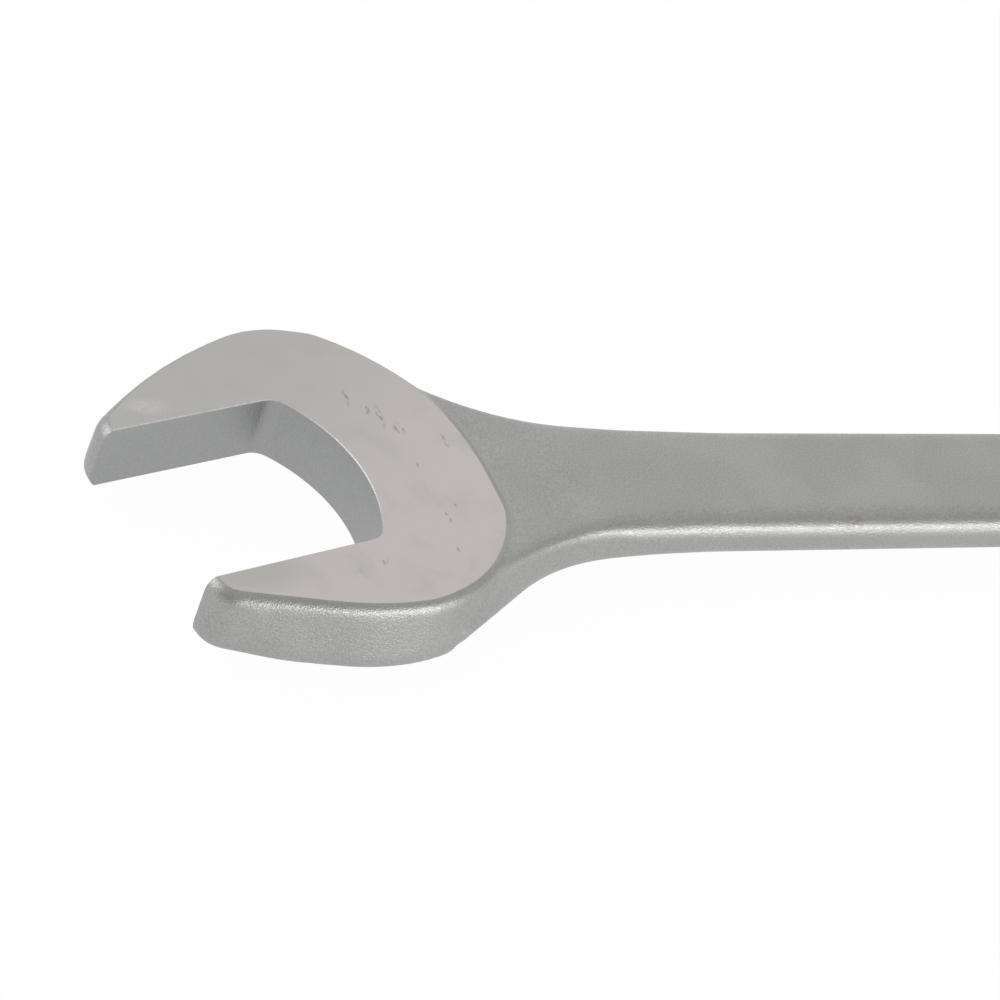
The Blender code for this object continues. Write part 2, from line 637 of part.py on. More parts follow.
def main():
    """Build every piece in its own node."""
    for obj in list(bpy.data.objects):
        bpy.data.objects.remove(obj)
    parts = bpy.data.collections.new("combination_wrench")
    cutters = bpy.data.collections.new("cutters")
    bpy.context.scene.collection.children.link(parts)
    bpy.context.scene.collection.children.link(cutters)
    make_body(parts, cutters)
    make_drive_ring(parts, cutters)
    make_washer("lower_thrust_washer", LIP_TOP + RUNNING_GAP, parts)
    make_washer("upper_thrust_washer", TEETH_TOP + RUNNING_GAP, parts)
    make_ring_clip(parts)
    make_pawl(parts, cutters)
    make_pawl_pin(parts)
    make_lever(parts, cutters)
    make_lever_clip(parts)
    make_plunger(parts)
    make_spring(parts)


main()
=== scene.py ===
"""Looks of the combination wrench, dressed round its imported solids.

The forging is made as the real one is: a blank with rounded rims and necks is
run together, its faces are ground flat, and the jaw, the bore and the pockets
are cut into it. The ratchet's pieces follow the solids that they stand for.
Lengths are in metres. The tool lies flat with its shank along +X.
"""

import json
import logging
import math
from collections.abc import Callable, Sequence
from dataclasses import dataclass
from enum import Enum, IntEnum
from typing import Protocol

import bpy
from bpy.types import Material, NodeSocket, NodeTree, Object
from mathutils import Matrix, Vector


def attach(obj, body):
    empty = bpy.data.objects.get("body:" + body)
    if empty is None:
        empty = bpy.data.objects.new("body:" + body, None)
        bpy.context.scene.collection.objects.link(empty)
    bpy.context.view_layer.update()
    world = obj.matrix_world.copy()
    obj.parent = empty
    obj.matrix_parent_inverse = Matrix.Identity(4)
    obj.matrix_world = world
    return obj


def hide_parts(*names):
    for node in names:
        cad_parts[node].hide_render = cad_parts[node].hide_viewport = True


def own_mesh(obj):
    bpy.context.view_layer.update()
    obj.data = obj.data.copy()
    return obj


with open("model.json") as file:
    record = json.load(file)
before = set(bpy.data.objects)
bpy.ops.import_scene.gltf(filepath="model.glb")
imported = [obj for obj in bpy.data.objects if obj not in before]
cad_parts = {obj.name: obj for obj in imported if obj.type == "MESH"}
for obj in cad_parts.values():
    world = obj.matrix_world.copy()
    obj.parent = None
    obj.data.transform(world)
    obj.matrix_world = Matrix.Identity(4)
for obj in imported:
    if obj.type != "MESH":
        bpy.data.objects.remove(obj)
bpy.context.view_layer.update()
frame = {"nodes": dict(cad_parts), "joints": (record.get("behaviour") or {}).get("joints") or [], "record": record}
LOG = logging.getLogger("wrench")

Colour = tuple[float, float, float]
Outline = list[tuple[float, float]]
Ring = list[Vector]

MM = 0.001
JOINTS = {joint["name"]: joint for joint in frame["joints"]}
MOUNTS = {mount["name"]: mount for mount in frame["record"]["mounts"]}
RING_AXIS = Vector(JOINTS["ring_spin"]["pos_m"])
PAWL_AXIS = Vector(JOINTS["pawl_rock"]["pos_m"])
LEVER_AXIS = Vector(JOINTS["lever_turn"]["pos_m"])
PLUNGER_LINE = Vector(JOINTS["plunger_slide"]["axis"])
MID_Z = RING_AXIS.z
GAP = 0.3 * MM
HAIR = 0.01 * MM


class Merge(Enum):
    """How a tool meets the piece that stays."""

    JOIN = "UNION"
    CUT = "DIFFERENCE"


class Bench:
    """Modelling by hand: thin wraps of Blender's operators."""

    @staticmethod
    def pick(*pieces: Object) -> None:
        """Selects these pieces alone, the first one active.

        Args:
            pieces: The pieces to select.
        """
        bpy.ops.object.select_all(action="DESELECT")
        for piece in pieces:
            piece.select_set(True)
        bpy.context.view_layer.objects.active = pieces[0]

    @staticmethod
    def loft(name: str, rings: Sequence[Ring], hollow: bool = False) -> Object:
        """Bridges closed rings of one count into a solid.

        Args:
            name: The new object's name.
            rings: The rings' points, in order along the solid.
            hollow: Joins the last ring to the first instead of closing both ends.

        Returns:
            The solid, with its place in its mesh.
        """
        bpy.ops.object.select_all(action="DESELECT")
        count = len(rings[0])
        bpy.ops.mesh.primitive_circle_add(vertices=count, radius=1.0)
        piece = bpy.context.object
        piece.name = piece.data.name = name
        bpy.ops.object.mode_set(mode="EDIT")
        bpy.ops.mesh.select_mode(type="VERT")
        for _ in rings[1:]:
            bpy.ops.mesh.primitive_circle_add(vertices=count, radius=1.0)
        bpy.ops.object.mode_set(mode="OBJECT")
        points = [point for ring in rings for point in ring]
        for vertex, point in zip(piece.data.vertices, points):
            vertex.co = point
        pairs = [(step, step + 1) for step in range(len(rings) - 1)]
        if hollow:
            pairs.append((len(rings) - 1, 0))
        for pair in pairs:
            Bench.mark(piece, lambda index, _: index // count in pair)
            bpy.ops.mesh.bridge_edge_loops()
            bpy.ops.object.mode_set(mode="OBJECT")
        bpy.ops.object.mode_set(mode="EDIT")
        bpy.ops.mesh.select_all(action="SELECT")
        if not hollow:
            bpy.ops.mesh.fill_holes(sides=0)
            bpy.ops.mesh.select_all(action="SELECT")
        bpy.ops.mesh.normals_make_consistent(inside=False)
        bpy.ops.object.mode_set(mode="OBJECT")
        return piece

    @staticmethod
    def mark(piece: Object, test: Callable[[int, Vector], bool]) -> None:
        """Enters edit mode with only the vertices selected that pass a test.

        Args:
            piece: The mesh to work on.
            test: Takes a vertex's number and place.
        """
        bpy.ops.object.mode_set(mode="EDIT")
        bpy.ops.mesh.select_mode(type="VERT")
        bpy.ops.mesh.select_all(action="DESELECT")
        bpy.ops.object.mode_set(mode="OBJECT")
        for vertex in piece.data.vertices:
            vertex.select = test(vertex.index, vertex.co)
        bpy.ops.object.mode_set(mode="EDIT")

    @staticmethod
    def soften(piece: Object, width: float, steps: int, test: Callable[[Vector, Vector], bool]) -> None:
        """Rounds the edges whose two ends pass a test.

        Args:
            piece: The solid to work on.
            width: How far the rounding reaches from the edge.
            steps: The number of faces across the rounding.
            test: Takes the two end points of an edge.
        """
        Bench.pick(piece)
        bpy.ops.object.mode_set(mode="EDIT")
        bpy.ops.mesh.select_mode(type="EDGE")
        bpy.ops.mesh.select_all(action="DESELECT")
        bpy.ops.object.mode_set(mode="OBJECT")
        places = piece.data.vertices
        for edge in piece.data.edges:
            first, second = edge.vertices
            edge.select = test(places[first].co, places[second].co)
        bpy.ops.object.mode_set(mode="EDIT")
        bpy.ops.mesh.bevel(offset=width, segments=steps, profile=0.5)
        bpy.ops.object.mode_set(mode="OBJECT")

    @staticmethod
    def prism(name: str, outline: Outline, low: float, high: float, place: Matrix) -> Object:
        """A flat outline raised from one height to another."""
        return Bench.loft(name, [[place @ Vector((x, y, z)) for x, y in outline] for z in (low, high)])

    @staticmethod
    def turned(name: str, profile: Outline, place: Matrix, steps: int = 96, hollow: bool = False) -> Object:
        """A solid turned about Z from (radius, height) points.

        Every other ring is lifted by a hair, because a bridge between two rings
        with the same centre would twist.

        Args:
            name: The new object's name.
            profile: The points, in order along the surface.
            place: The frame that the solid is turned in.
            steps: The number of sides.
            hollow: Joins the last ring to the first, for a solid with a hole.

        Returns:
            The solid, with its place in its mesh.
        """
        spokes = arc(1.0, 0.0, 2 * math.pi, steps)[:-1]
        rings = []
        for step, (radius, height) in enumerate(profile):
            lifted = height + step % 2 * HAIR
            rings.append([place @ Vector((radius * x, radius * y, lifted)) for x, y in spokes])
        return Bench.loft(name, rings, hollow)

    @staticmethod
    def apply(piece: Object, kind: str, **settings: object) -> None:
        """Adds a modifier and applies it.

        Args:
            piece: The piece to change.
            kind: The modifier's type.
            settings: The modifier's own values, by name.
        """
        Bench.pick(piece)
        modifier = piece.modifiers.new(kind.title(), kind)
        for key, value in settings.items():
            setattr(modifier, key, value)
        bpy.ops.object.modifier_apply(modifier=modifier.name)

    @staticmethod
    def combine(piece: Object, tool: Object, merge: Merge, zone: int = 0) -> None:
        """Joins a tool to a piece or cuts it out, and removes the tool.

        Args:
            piece: The piece that stays.
            tool: The other solid.
            merge: Whether the tool is joined on or cut out.
            zone: The material slot that the tool's own faces leave on the piece.
        """
        for material in piece.data.materials[len(tool.data.materials):]:
            tool.data.materials.append(material)
        for polygon in tool.data.polygons:
            polygon.material_index = max(zone, polygon.material_index)
        Bench.apply(piece, "BOOLEAN", operation=merge.value, object=tool, solver="EXACT")
        bpy.data.meshes.remove(tool.data)

    @staticmethod
    def finish(piece: Object, angle: float = 30.0) -> Object:
        """Smooths the shading, with a sharp line round each material.

        Args:
            piece: The finished mesh.
            angle: The bend in degrees past which an edge stays sharp.

        Returns:
            The same piece.
        """
        Bench.pick(piece)
        bpy.ops.object.shade_smooth_by_angle(angle=math.radians(angle))
        zones: dict[int, int] = {}
        for polygon in piece.data.polygons:
            for loop in polygon.loop_indices:
                edge = piece.data.loops[loop].edge_index
                if zones.setdefault(edge, polygon.material_index) != polygon.material_index:
                    piece.data.edges[edge].use_edge_sharp = True
        return piece


def arc(radius: float, start: float, end: float, steps: int, x: float = 0.0, y: float = 0.0) -> Outline:
    """Points on an arc from one angle to another, both ends included."""
    angles = [start + (end - start) * step / steps for step in range(steps + 1)]
    return [(x + radius * math.cos(angle), y + radius * math.sin(angle)) for angle in angles]


def level(first: Vector, second: Vector) -> bool:
    """Whether an edge lies flat, as the rims of an upright prism do."""
    return abs(first.z - second.z) < 0.001 * MM


def eased(value: float) -> float:
    """A ramp from 0 to 1 with level ends."""
    value = min(1.0, max(0.0, value))
    return value * value * (3.0 - 2.0 * value)


class Wire:
    """A shader socket that takes part in Python expressions."""

    def __init__(self, nodes: "Nodes", socket: NodeSocket) -> None:
        """Keeps a socket and the nodes that it belongs to."""
        self.nodes = nodes
        self.socket = socket

    def math(self, operation: str, first: "Wire | float", second: "Wire | float" = 0.0) -> "Wire":
        """A Math node on one or two values."""
        return self.nodes.node("ShaderNodeMath", {"operation": operation}, {0: first, 1: second})

    def __add__(self, other: "Wire | float") -> "Wire":
        """Sum."""
        return self.math("ADD", self, other)

    def __sub__(self, other: "Wire | float") -> "Wire":
        """Difference."""
        return self.math("SUBTRACT", self, other)

    def __rsub__(self, other: float) -> "Wire":
        """Difference from a number."""
        return self.math("SUBTRACT", other, self)

    def __mul__(self, other: "Wire | float") -> "Wire":
        """Product."""
        return self.math("MULTIPLY", self, other)

    def __or__(self, other: "Wire") -> "Wire":
        """The larger of two masks."""
        return self.math("MAXIMUM", self, other)

    __radd__ = __add__
    __rmul__ = __mul__


class Nodes:
    """A node tree, written as expressions."""

    def __init__(self, tree: NodeTree) -> None:
        """Keeps the tree that nodes are added to."""
        self.tree = tree

    def node(self, kind: str, settings: dict | None = None, inputs: dict | None = None,
             output: str | int = 0) -> Wire:
        """Adds any node.

        Args:
            kind: The node's type.
            settings: Its options, set first.
            inputs: Values or wires for its sockets, by name or number.
            output: The output that is used.

        Returns:
            The wire from that output.
        """
        node = self.tree.nodes.new(kind)
        for key, value in (settings or {}).items():
            setattr(node, key, value)
        for key, value in (inputs or {}).items():
            self.feed(node.inputs[key], value)
        return Wire(self, node.outputs[output])

    def feed(self, socket: NodeSocket, value: object) -> None:
        """Links a wire to a socket, or sets the socket's own value.

        Args:
            socket: The socket to feed.
            value: A wire, or a plain value.
        """
        if isinstance(value, Wire):
            self.tree.links.new(value.socket, socket)
        else:
            socket.default_value = value


class Recipe(Nodes):
    """One material's nodes."""

    def __init__(self, name: str) -> None:
        """Starts a material that has only its shader.

        Args:
            name: The material's name.
        """
        self.material = bpy.data.materials.new(name)
        self.material.use_nodes = True
        super().__init__(self.material.node_tree)
        self.shader = self.tree.nodes["Principled BSDF"]
        self.place = self.node("ShaderNodeTexCoord", output="Object")

    def mix(self, factor: Wire, first: Wire | Colour, second: Wire | Colour) -> Wire:
        """Blends two colours."""
        ends = [end if isinstance(end, Wire) else (*end, 1.0) for end in (first, second)]
        return self.node("ShaderNodeMix", {"data_type": "RGBA"}, {0: factor, 6: ends[0], 7: ends[1]}, 2)

    def noise(self, size: float, detail: float = 2.0, place: Wire | None = None) -> Wire:
        """Smooth noise about 0.5 with bumps of a given size."""
        inputs = {"Vector": place or self.place, "Scale": 1.0 / size, "Detail": detail}
        return self.node("ShaderNodeTexNoise", None, inputs)

    def ramp(self, value: Wire, low: float, high: float) -> Wire:
        """A soft step that is 0 at one value and 1 at the other."""
        inputs = {"Value": value, "From Min": low, "From Max": high}
        return self.node("ShaderNodeMapRange", {"interpolation_type": "SMOOTHSTEP"}, inputs)

    def moved(self, centre: Vector, turn: float = 0.0, stretch: Sequence[float] = (1.0, 1.0, 1.0)) -> Wire:
        """Object coordinates about a centre, turned about Z and then stretched.

        Args:
            centre: The point that becomes the origin.
            turn: The pattern's turn in radians.
            stretch: A factor for each axis.

        Returns:
            The new coordinates.
        """
        away = self.node("ShaderNodeVectorMath", {"operation": "SUBTRACT"}, {0: self.place, 1: centre})
        inputs = {"Vector": away, "Rotation": (0.0, 0.0, -turn), "Scale": stretch}
        return self.node("ShaderNodeMapping", None, inputs)

    def length(self, vector: Wire) -> Wire:
        """A vector's length."""
        return self.node("ShaderNodeVectorMath", {"operation": "LENGTH"}, {0: vector}, "Value")

    def bump(self, height: Wire, depth: float) -> Wire:
        """A normal from a height of 0 to 1, times a depth in metres."""
        return self.node("ShaderNodeBump", None, {"Strength": 1.0, "Distance": depth, "Height": height})

    def steel(self, colour: Wire, roughness: Wire, normal: Wire) -> Material:
        """Feeds the shader of a bare metal.

        Args:
            colour: The metal's colour.
            roughness: Its roughness.
            normal: Its bumped normal.

        Returns:
            The material.
        """
        values = {"Metallic": 1.0, "Base Color": colour, "Roughness": roughness, "Normal": normal}
        for name, value in values.items():
            self.feed(self.shader.inputs[name], value)
        return self.material


class Finish(Protocol):
    """Any finish that a piece can be dressed in."""

    def make(self) -> Material:
        """Builds the material."""


def dress(piece: Object, finish: Finish) -> None:
    """Gives a piece one finish, in place of any that it has."""
    piece.data.materials.clear()
    piece.data.materials.append(finish.make())


@dataclass(frozen=True)
class BlastedSteel:
    """Shot-blasted forging skin under a satin plating."""

    name: str = "blasted_steel"
    colour: Colour = (0.430, 0.427, 0.420)
    shade: Colour = (0.318, 0.318, 0.310)
    roughness: float = 0.38
    grain: float = 0.30 * MM
    depth: float = 0.026 * MM
    cloud: float = 12.0 * MM
    rust: Colour = (0.30, 0.245, 0.17)
    stain: Vector | None = None
    stain_stretch: tuple[float, float, float] = (0.4 / MM, 0.9 / MM, 0.0)
    stain_grain: float = 0.7 * MM

    def make(self) -> Material:
        """Builds the material, with one small rust stain where a place is given.

        Returns:
            The material.
        """
        recipe = Recipe(self.name)
        clouds = recipe.ramp(recipe.noise(self.cloud, 3.0), 0.35, 0.7)
        grain = recipe.ramp(recipe.noise(self.grain, 2.0), 0.25, 0.75)
        colour = recipe.mix(clouds * 0.25 + grain * 0.75, self.shade, self.colour)
        if self.stain:
            away = recipe.length(recipe.moved(self.stain, 0.0, self.stain_stretch))
            flecks = recipe.ramp(recipe.noise(self.stain_grain, 3.0), 0.4, 0.6)
            spot = (1.0 - recipe.ramp(away, 0.2, 1.0)) * flecks
            colour = recipe.mix(spot * 0.7, colour, self.rust)
        return recipe.steel(colour, self.roughness + 0.06 - 0.12 * grain, recipe.bump(grain, self.depth))


@dataclass(frozen=True)
class Patch:
    """A soft-edged patch on the ground face.

    Its place from the head's centre and its reach are in millimetres, its turn in degrees.
    """

    x: float
    y: float
    across: float
    along: float
    turn: float = 0.0


@dataclass(frozen=True)
class GroundSteel:
    """The head's flat face: ground, cloudy, rosier towards the shank, with dark scuffs and a painted highlight
    near the far tip.
    """

    centre: Vector
    name: str = "ground_steel"
    colour: Colour = (0.470, 0.455, 0.436)
    rose: Colour = (0.560, 0.515, 0.512)
    olive: Colour = (0.450, 0.442, 0.405)
    # Painted highlight: the pale colour of the grainy patch near the far tip
    painted_highlight: Colour = (0.600, 0.560, 0.560)
    dark: Colour = (0.300, 0.285, 0.270)
    roughness: float = 0.32
    relief: float = 0.02 * MM
    cloud: float = 12 * MM
    patches: float = 7 * MM
    line: float = 0.22 * MM
    grain: float = 0.35 * MM
    scratch: float = 0.55 * MM
    rose_start: float = -24 * MM
    rose_end: float = 16 * MM
    rose_drift: float = 20 * MM
    shankward_turn: float = -50.0
    line_turn: float = 38.0
    scratch_turn: float = -38.0
    softness: float = 0.7
    # Painted highlight: the patch near the far jaw's tip where the face catches the light
    tip: Patch = Patch(-25.5, 13.5, 3.2, 1.6, 50.0)
    dull: Patch = Patch(-19.0, -22.0, 9.0, 4.5, 10.0)
    scuffs: tuple[Patch, ...] = (
        Patch(8.0, 15.6, 0.5, 1.8, 35.0),
        Patch(10.6, 13.4, 0.7, 1.6, -50.0),
        Patch(12.4, 11.4, 0.5, 2.6, -40.0),
        Patch(14.8, 8.6, 0.9, 1.2, 30.0),
        Patch(21.8, 6.0, 0.4, 1.8, -60.0),
        Patch(16.8, -9.6, 0.5, 1.5, 75.0),
        Patch(16.4, -11.4, 0.5, 1.2, -60.0),
        Patch(18.6, -8.4, 0.3, 0.8, -70.0),
        Patch(15.8, -18.5, 0.3, 0.8, -70.0),
        Patch(2.9, -20.8, 0.9, 0.9),
        Patch(-1.5, -22.4, 0.3, 0.8, 20.0),
        Patch(15.3, -0.2, 0.3, 0.9, 10.0),
    )

    def make(self) -> Material:
        """Builds the material.

        Returns:
            The material.
        """
        recipe = Recipe(self.name)
        sloped = recipe.moved(self.centre, math.radians(self.shankward_turn))
        slope = recipe.node("ShaderNodeSeparateXYZ", None, {0: sloped}, "X")
        drift = self.rose_drift * (recipe.noise(self.cloud, 3.0) - 0.5)
        shankward = recipe.ramp(slope + drift, self.rose_start, self.rose_end)
        elsewhere = recipe.moved(Vector((0.3, 0.1, 0.0)))
        green = recipe.ramp(recipe.noise(self.patches, 3.0, elsewhere), 0.48, 0.7)
        brushed = recipe.moved(self.centre, math.radians(self.line_turn), (1.0, 0.08, 1.0))
        lines = recipe.noise(self.line, 2.0, brushed)
        grain = recipe.noise(self.grain, 3.0)
        colour = recipe.mix(shankward, self.colour, self.rose)
        colour = recipe.mix(green * 0.45 | 0.8 * self.spot(recipe, self.dull), colour, self.olive)
        # Painted highlight: pale grains sprinkled over the far tip's patch
        bright = 0.7 * self.spot(recipe, self.tip) * recipe.ramp(grain, 0.3, 0.6)
        colour = recipe.mix(bright, colour, self.painted_highlight)
        worn = self.spot(recipe, self.scuffs[0])
        for scuff in self.scuffs[1:]:
            worn = worn | self.spot(recipe, scuff)
        streaks = recipe.moved(self.centre, math.radians(self.scratch_turn), (1.0, 0.45, 1.0))
        worn = worn * recipe.ramp(recipe.noise(self.scratch, 5.0, streaks), 0.52, 0.58)
        colour = recipe.mix(worn * 0.7, colour, self.dark)
        height = lines * 0.4 + grain * 0.6 - worn * 0.8
        roughness = self.roughness - 0.06 + 0.12 * lines + 0.12 * worn
        return recipe.steel(colour, roughness, recipe.bump(height, self.relief))

    def spot(self, recipe: Recipe, patch: Patch) -> Wire:
        """A soft mask over one patch.

        Args:
            recipe: The material's nodes.
            patch: The patch to cover.

        Returns:
            The mask, 1 in the middle.
        """
        centre = self.centre + Vector((patch.x, patch.y, 0.0)) * MM
        stretch = (self.softness / (patch.across * MM), self.softness / (patch.along * MM), 0.0)
        away = recipe.moved(centre, math.radians(patch.turn), stretch)
        return 1.0 - recipe.ramp(recipe.length(away), 0.3, 1.0)


@dataclass(frozen=True)
class MilledSteel:
    """A cut wall, with fine marks along Z."""

    name: str
    colour: Colour
    shade: Colour
    roughness: float = 0.34
    marks: tuple[float, float, float] = (1.0, 1.0, 0.15)
    pitch: float = 0.3 * MM
    grain: float = 0.35 * MM
    relief: float = 0.025 * MM

    def make(self) -> Material:
        """Builds the material.

        Returns:
            The material.
        """
        recipe = Recipe(self.name)
        streaks = recipe.noise(self.pitch, 2.0, recipe.moved(Vector(), 0.0, self.marks))
        grain = recipe.ramp(recipe.noise(self.grain, 3.0), 0.3, 0.7)
        height = grain * 0.7 + streaks * 0.3
        colour = recipe.mix(height, self.shade, self.colour)
        roughness = self.roughness - 0.06 + 0.12 * streaks
        return recipe.steel(colour, roughness, recipe.bump(height, self.relief))


@dataclass(frozen=True)
class TurnedSteel:
    """A lathe-turned piece, with fine rings about its axis."""

    name: str
    axis: Vector
    colour: Colour = (0.47, 0.465, 0.46)
    shade: Colour = (0.40, 0.395, 0.39)
    roughness: float = 0.27
    pitch: float = 0.12 * MM
    grain: float = 0.3 * MM
    cloud: float = 4 * MM
    relief: float = 0.012 * MM

    def make(self) -> Material:
        """Builds the material.

        Returns:
            The material.
        """
        recipe = Recipe(self.name)
        radius = recipe.length(recipe.moved(self.axis, 0.0, (1.0, 1.0, 0.0)))
        line = recipe.node("ShaderNodeCombineXYZ", None, {"X": radius})
        rings = recipe.noise(self.pitch, 2.0, line)
        grain = recipe.noise(self.grain, 2.0)
        clouds = recipe.ramp(recipe.noise(self.cloud, 3.0), 0.35, 0.7)
        colour = recipe.mix(clouds * 0.6 + grain * 0.4, self.colour, self.shade)
        normal = recipe.bump(rings * 0.7 + grain * 0.3, self.relief)
        return recipe.steel(colour, self.roughness - 0.05 + 0.1 * rings, normal)


@dataclass(frozen=True)
class DarkSteel:
    """Blackened spring steel with a dull oiled sheen."""

    name: str
    colour: Colour = (0.085, 0.085, 0.088)
    shade: Colour = (0.055, 0.055, 0.058)
    roughness: float = 0.36
    grain: float = 0.25 * MM
    cloud: float = 3 * MM
    relief: float = 0.01 * MM

    def make(self) -> Material:
        """Builds the material.

        Returns:
            The material.
        """
        recipe = Recipe(self.name)
        grain = recipe.noise(self.grain, 3.0)
        clouds = recipe.ramp(recipe.noise(self.cloud, 3.0), 0.35, 0.7)
        colour = recipe.mix(clouds * 0.7 + grain * 0.3, self.colour, self.shade)
        return recipe.steel(colour, self.roughness - 0.08 + 0.16 * grain, recipe.bump(grain, self.relief))


class Zone(IntEnum):
    """The forging's surfaces, in the order of its material slots."""

    BLASTED = 0
    GROUND = 1
    JAW = 2
    # The jaw's chamfered edges: a real cut edge, with a much paler colour as a painted highlight
    BURR_HIGHLIGHT = 3
    BORE = 4


@dataclass(frozen=True)
class Stretch:
    """One arc of the head's outline, in millimetres from the head's centre and in degrees.

    The blank is stretched over discs that touch the arc from inside, each with
    one rounded rim on the upper (1) or the lower (-1) side.
    """

    x: float
    y: float
    radius: float
    start: float
    end: float
    rim: float
    sides: tuple[int, ...] = (1, -1)
    steps: int = 6
    disc: float = 5.0

    def centres(self) -> Outline:
        """The discs' centres."""
        turn = math.radians(self.start), math.radians(self.end)
        return arc(self.radius - self.disc, *turn, self.steps, self.x, self.y)


@dataclass(frozen=True)
class Neck:
    """One side of the neck: a straight flank that bends into the shank's edge."""

    half_width: float
    radius: float
    slope: float
    end: float
    taper: float
    taper_end: float

    def reach(self, x: float) -> float:
        """Half width at a place along the shank.

        Args:
            x: The place, from the head's centre.

        Returns:
            The distance from the middle line to this side.
        """
        run = self.radius * math.sin(math.radians(self.slope))
        bend = min(max(self.end - x, 0.0), run)
        flank = max(self.end - x - run, 0.0) * math.tan(math.radians(self.slope))
        straight = self.half_width + self.taper * max(self.taper_end - x, 0.0)
        return straight + self.radius - math.sqrt(self.radius ** 2 - bend ** 2) + flank


@dataclass
class Forging:
    """Jaw head, shank and ratchet housing in one forging.

    The tips are the centres of the jaw's round ends, in millimetres along and
    across the jaw, and the rim share is a disc's depth as a share of its rim.
    """

    jaw_angle: float = math.radians(15)
    jaw_mount_x: float = 15 * MM
    tips: tuple[tuple[float, float], ...] = ((-26.02, 16.86), (-26.29, -17.06))
    head_thickness: float = 11.3 * MM
    stock: float = 0.30 * MM
    throat_depth: float = 5.3 * MM
    corner_radius: float = 3.4 * MM
    burr: float = 0.15 * MM
    neck_start: float = 15.5 * MM
    neck_lean: float = 3.0 * MM
    neck_edge: float = 2.6 * MM
    lean_end: float = 38 * MM
    edge_start: float = 42 * MM
    edge_run: float = 16 * MM
    neck_height: float = 4.95 * MM
    shank_height: float = 4.3 * MM
    shank_edge: float = 3.6 * MM
    far: Neck = Neck(11.54 * MM, 44.5 * MM, 36.0, 47.0 * MM, 0.033, 74.0 * MM)
    near: Neck = Neck(12.02 * MM, 34.0 * MM, 35.0, 48.5 * MM, 0.0385, 66.0 * MM)
    ring_neck: float = 60 * MM
    ramp: float = 35 * MM
    land: float = 9.1 * MM
    land_reach: float = 8.5 * MM
    housing_radius: float = 30.86 * MM
    housing_rim: float = 2.5 * MM
    flare_inset: float = 0.6 * MM
    bore: float = 22.86 * MM
    lip: float = 20.76 * MM
    lip_height: float = 2.6 * MM
    chamfer: float = 0.4 * MM
    groove: float = 24.06 * MM
    groove_base: float = 6.6 * MM
    groove_top: float = 8.6 * MM
    pocket_half: float = 5.3 * MM
    pocket_wide: float = 13.1 * MM
    pocket_narrow: float = 6.1 * MM
    pocket_mouth: float = 5 * MM
    pocket_shoulder: float = 24.9 * MM
    pocket_waist: float = 2.2 * MM
    stem: float = 5.3 * MM
    stem_foot: float = 4.3 * MM
    clip_seat: float = 6.6 * MM
    clip_depth: float = 1.9 * MM
    pin: float = 2.3 * MM
    pin_roof: float = 2.2 * MM
    rim_share: float = 1.2
    disc_sides: int = 72
    stations: int = 130
    voxel: float = 0.6 * MM
    smoothing: float = 0.5
    passes: int = 8
    grinder: tuple[float, float] = (120 * MM, 100 * MM)
    grinder_ahead: float = 20 * MM
    stain: tuple[float, float, float] = (90.4 * MM, -11.0 * MM, 0.0)

    def __post_init__(self) -> None:
        """Places the head from the jaw's two mounts."""
        far = Vector(MOUNTS["jaw_far_face"]["pos_m"])
        near = Vector(MOUNTS["jaw_near_face"]["pos_m"])
        along = Vector((math.cos(self.jaw_angle), math.sin(self.jaw_angle), 0.0))
        self.jaw_half = (far - near).length / 2
        self.head = (far + near) / 2 + along * self.jaw_mount_x
        self.face = self.head_thickness / 2

    def stretches(self) -> list[Stretch]:
        """The head's outline, from the photo's silhouette and the rim of its ground face.

        Returns:
            The arcs and the four round tips, far side first.
        """
        upper_tip, lower_tip = (Matrix.Rotation(self.jaw_angle, 2) @ Vector(tip) for tip in self.tips)
        return [
            Stretch(26.5, -39.4, 78.4, 138.3, 115.7, 1.6),
            Stretch(0.1, 13.9, 18.95, 115.0, 66.0, 1.6, steps=10),
            Stretch(-10.5, -2.5, 38.6, 62.0, 35.2, 1.6),
            Stretch(-27.5, -4.5, 55.2, 20.5, -6.9, 2.2),
            Stretch(2.4, -4.9, 26.2, -12.0, -68.0, 2.5, (1,), 10),
            Stretch(0.7, 18.95, 49.9, -81.0, -104.0, 2.3, (1,)),
            Stretch(1.2, 1.6, 34.2, -70.0, -100.0, 1.8, (-1,), 8),
            Stretch(-4.3, 6.0, 37.7, -96.0, -112.0, 1.8, (-1,)),
            Stretch(*upper_tip, 4.65, 0.0, 0.0, 3.0, (1,), 1, 4.6),
            Stretch(*upper_tip, 4.95, 0.0, 0.0, 2.6, (-1,), 1, 4.9),
            Stretch(*lower_tip, 4.85, 0.0, 0.0, 2.6, (1,), 1, 4.8),
            Stretch(*lower_tip, 4.95, 0.0, 0.0, 2.2, (-1,), 1, 4.9),
        ]

    def head_blank(self) -> Object:
        """The head before grinding: a skin stretched over discs with rounded rims.

        Returns:
            The blank.
        """
        half = self.face + self.stock
        discs = []
        for stretch in self.stretches():
            deep = self.rim_share * stretch.rim * MM
            for side in stretch.sides:
                rim = self.head.z + side * half
                for x, y in stretch.centres():
                    bpy.ops.object.select_all(action="DESELECT")
                    place = self.head + Vector((x * MM, y * MM, side * (half - deep / 2)))
                    bpy.ops.mesh.primitive_cylinder_add(vertices=self.disc_sides, radius=stretch.disc * MM,
                                                        depth=deep, location=place)
                    bpy.ops.object.transform_apply(location=True, rotation=True, scale=True)
                    discs.append(bpy.context.object)
                    Bench.soften(discs[-1], stretch.rim * MM, 6,
                                 lambda first, second: abs(first.z - rim) + abs(second.z - rim) < HAIR)
        Bench.pick(*discs)
        bpy.ops.object.join()
        bpy.ops.object.mode_set(mode="EDIT")
        bpy.ops.mesh.select_all(action="SELECT")
        bpy.ops.mesh.convex_hull()
        bpy.ops.object.mode_set(mode="OBJECT")
        return bpy.context.object

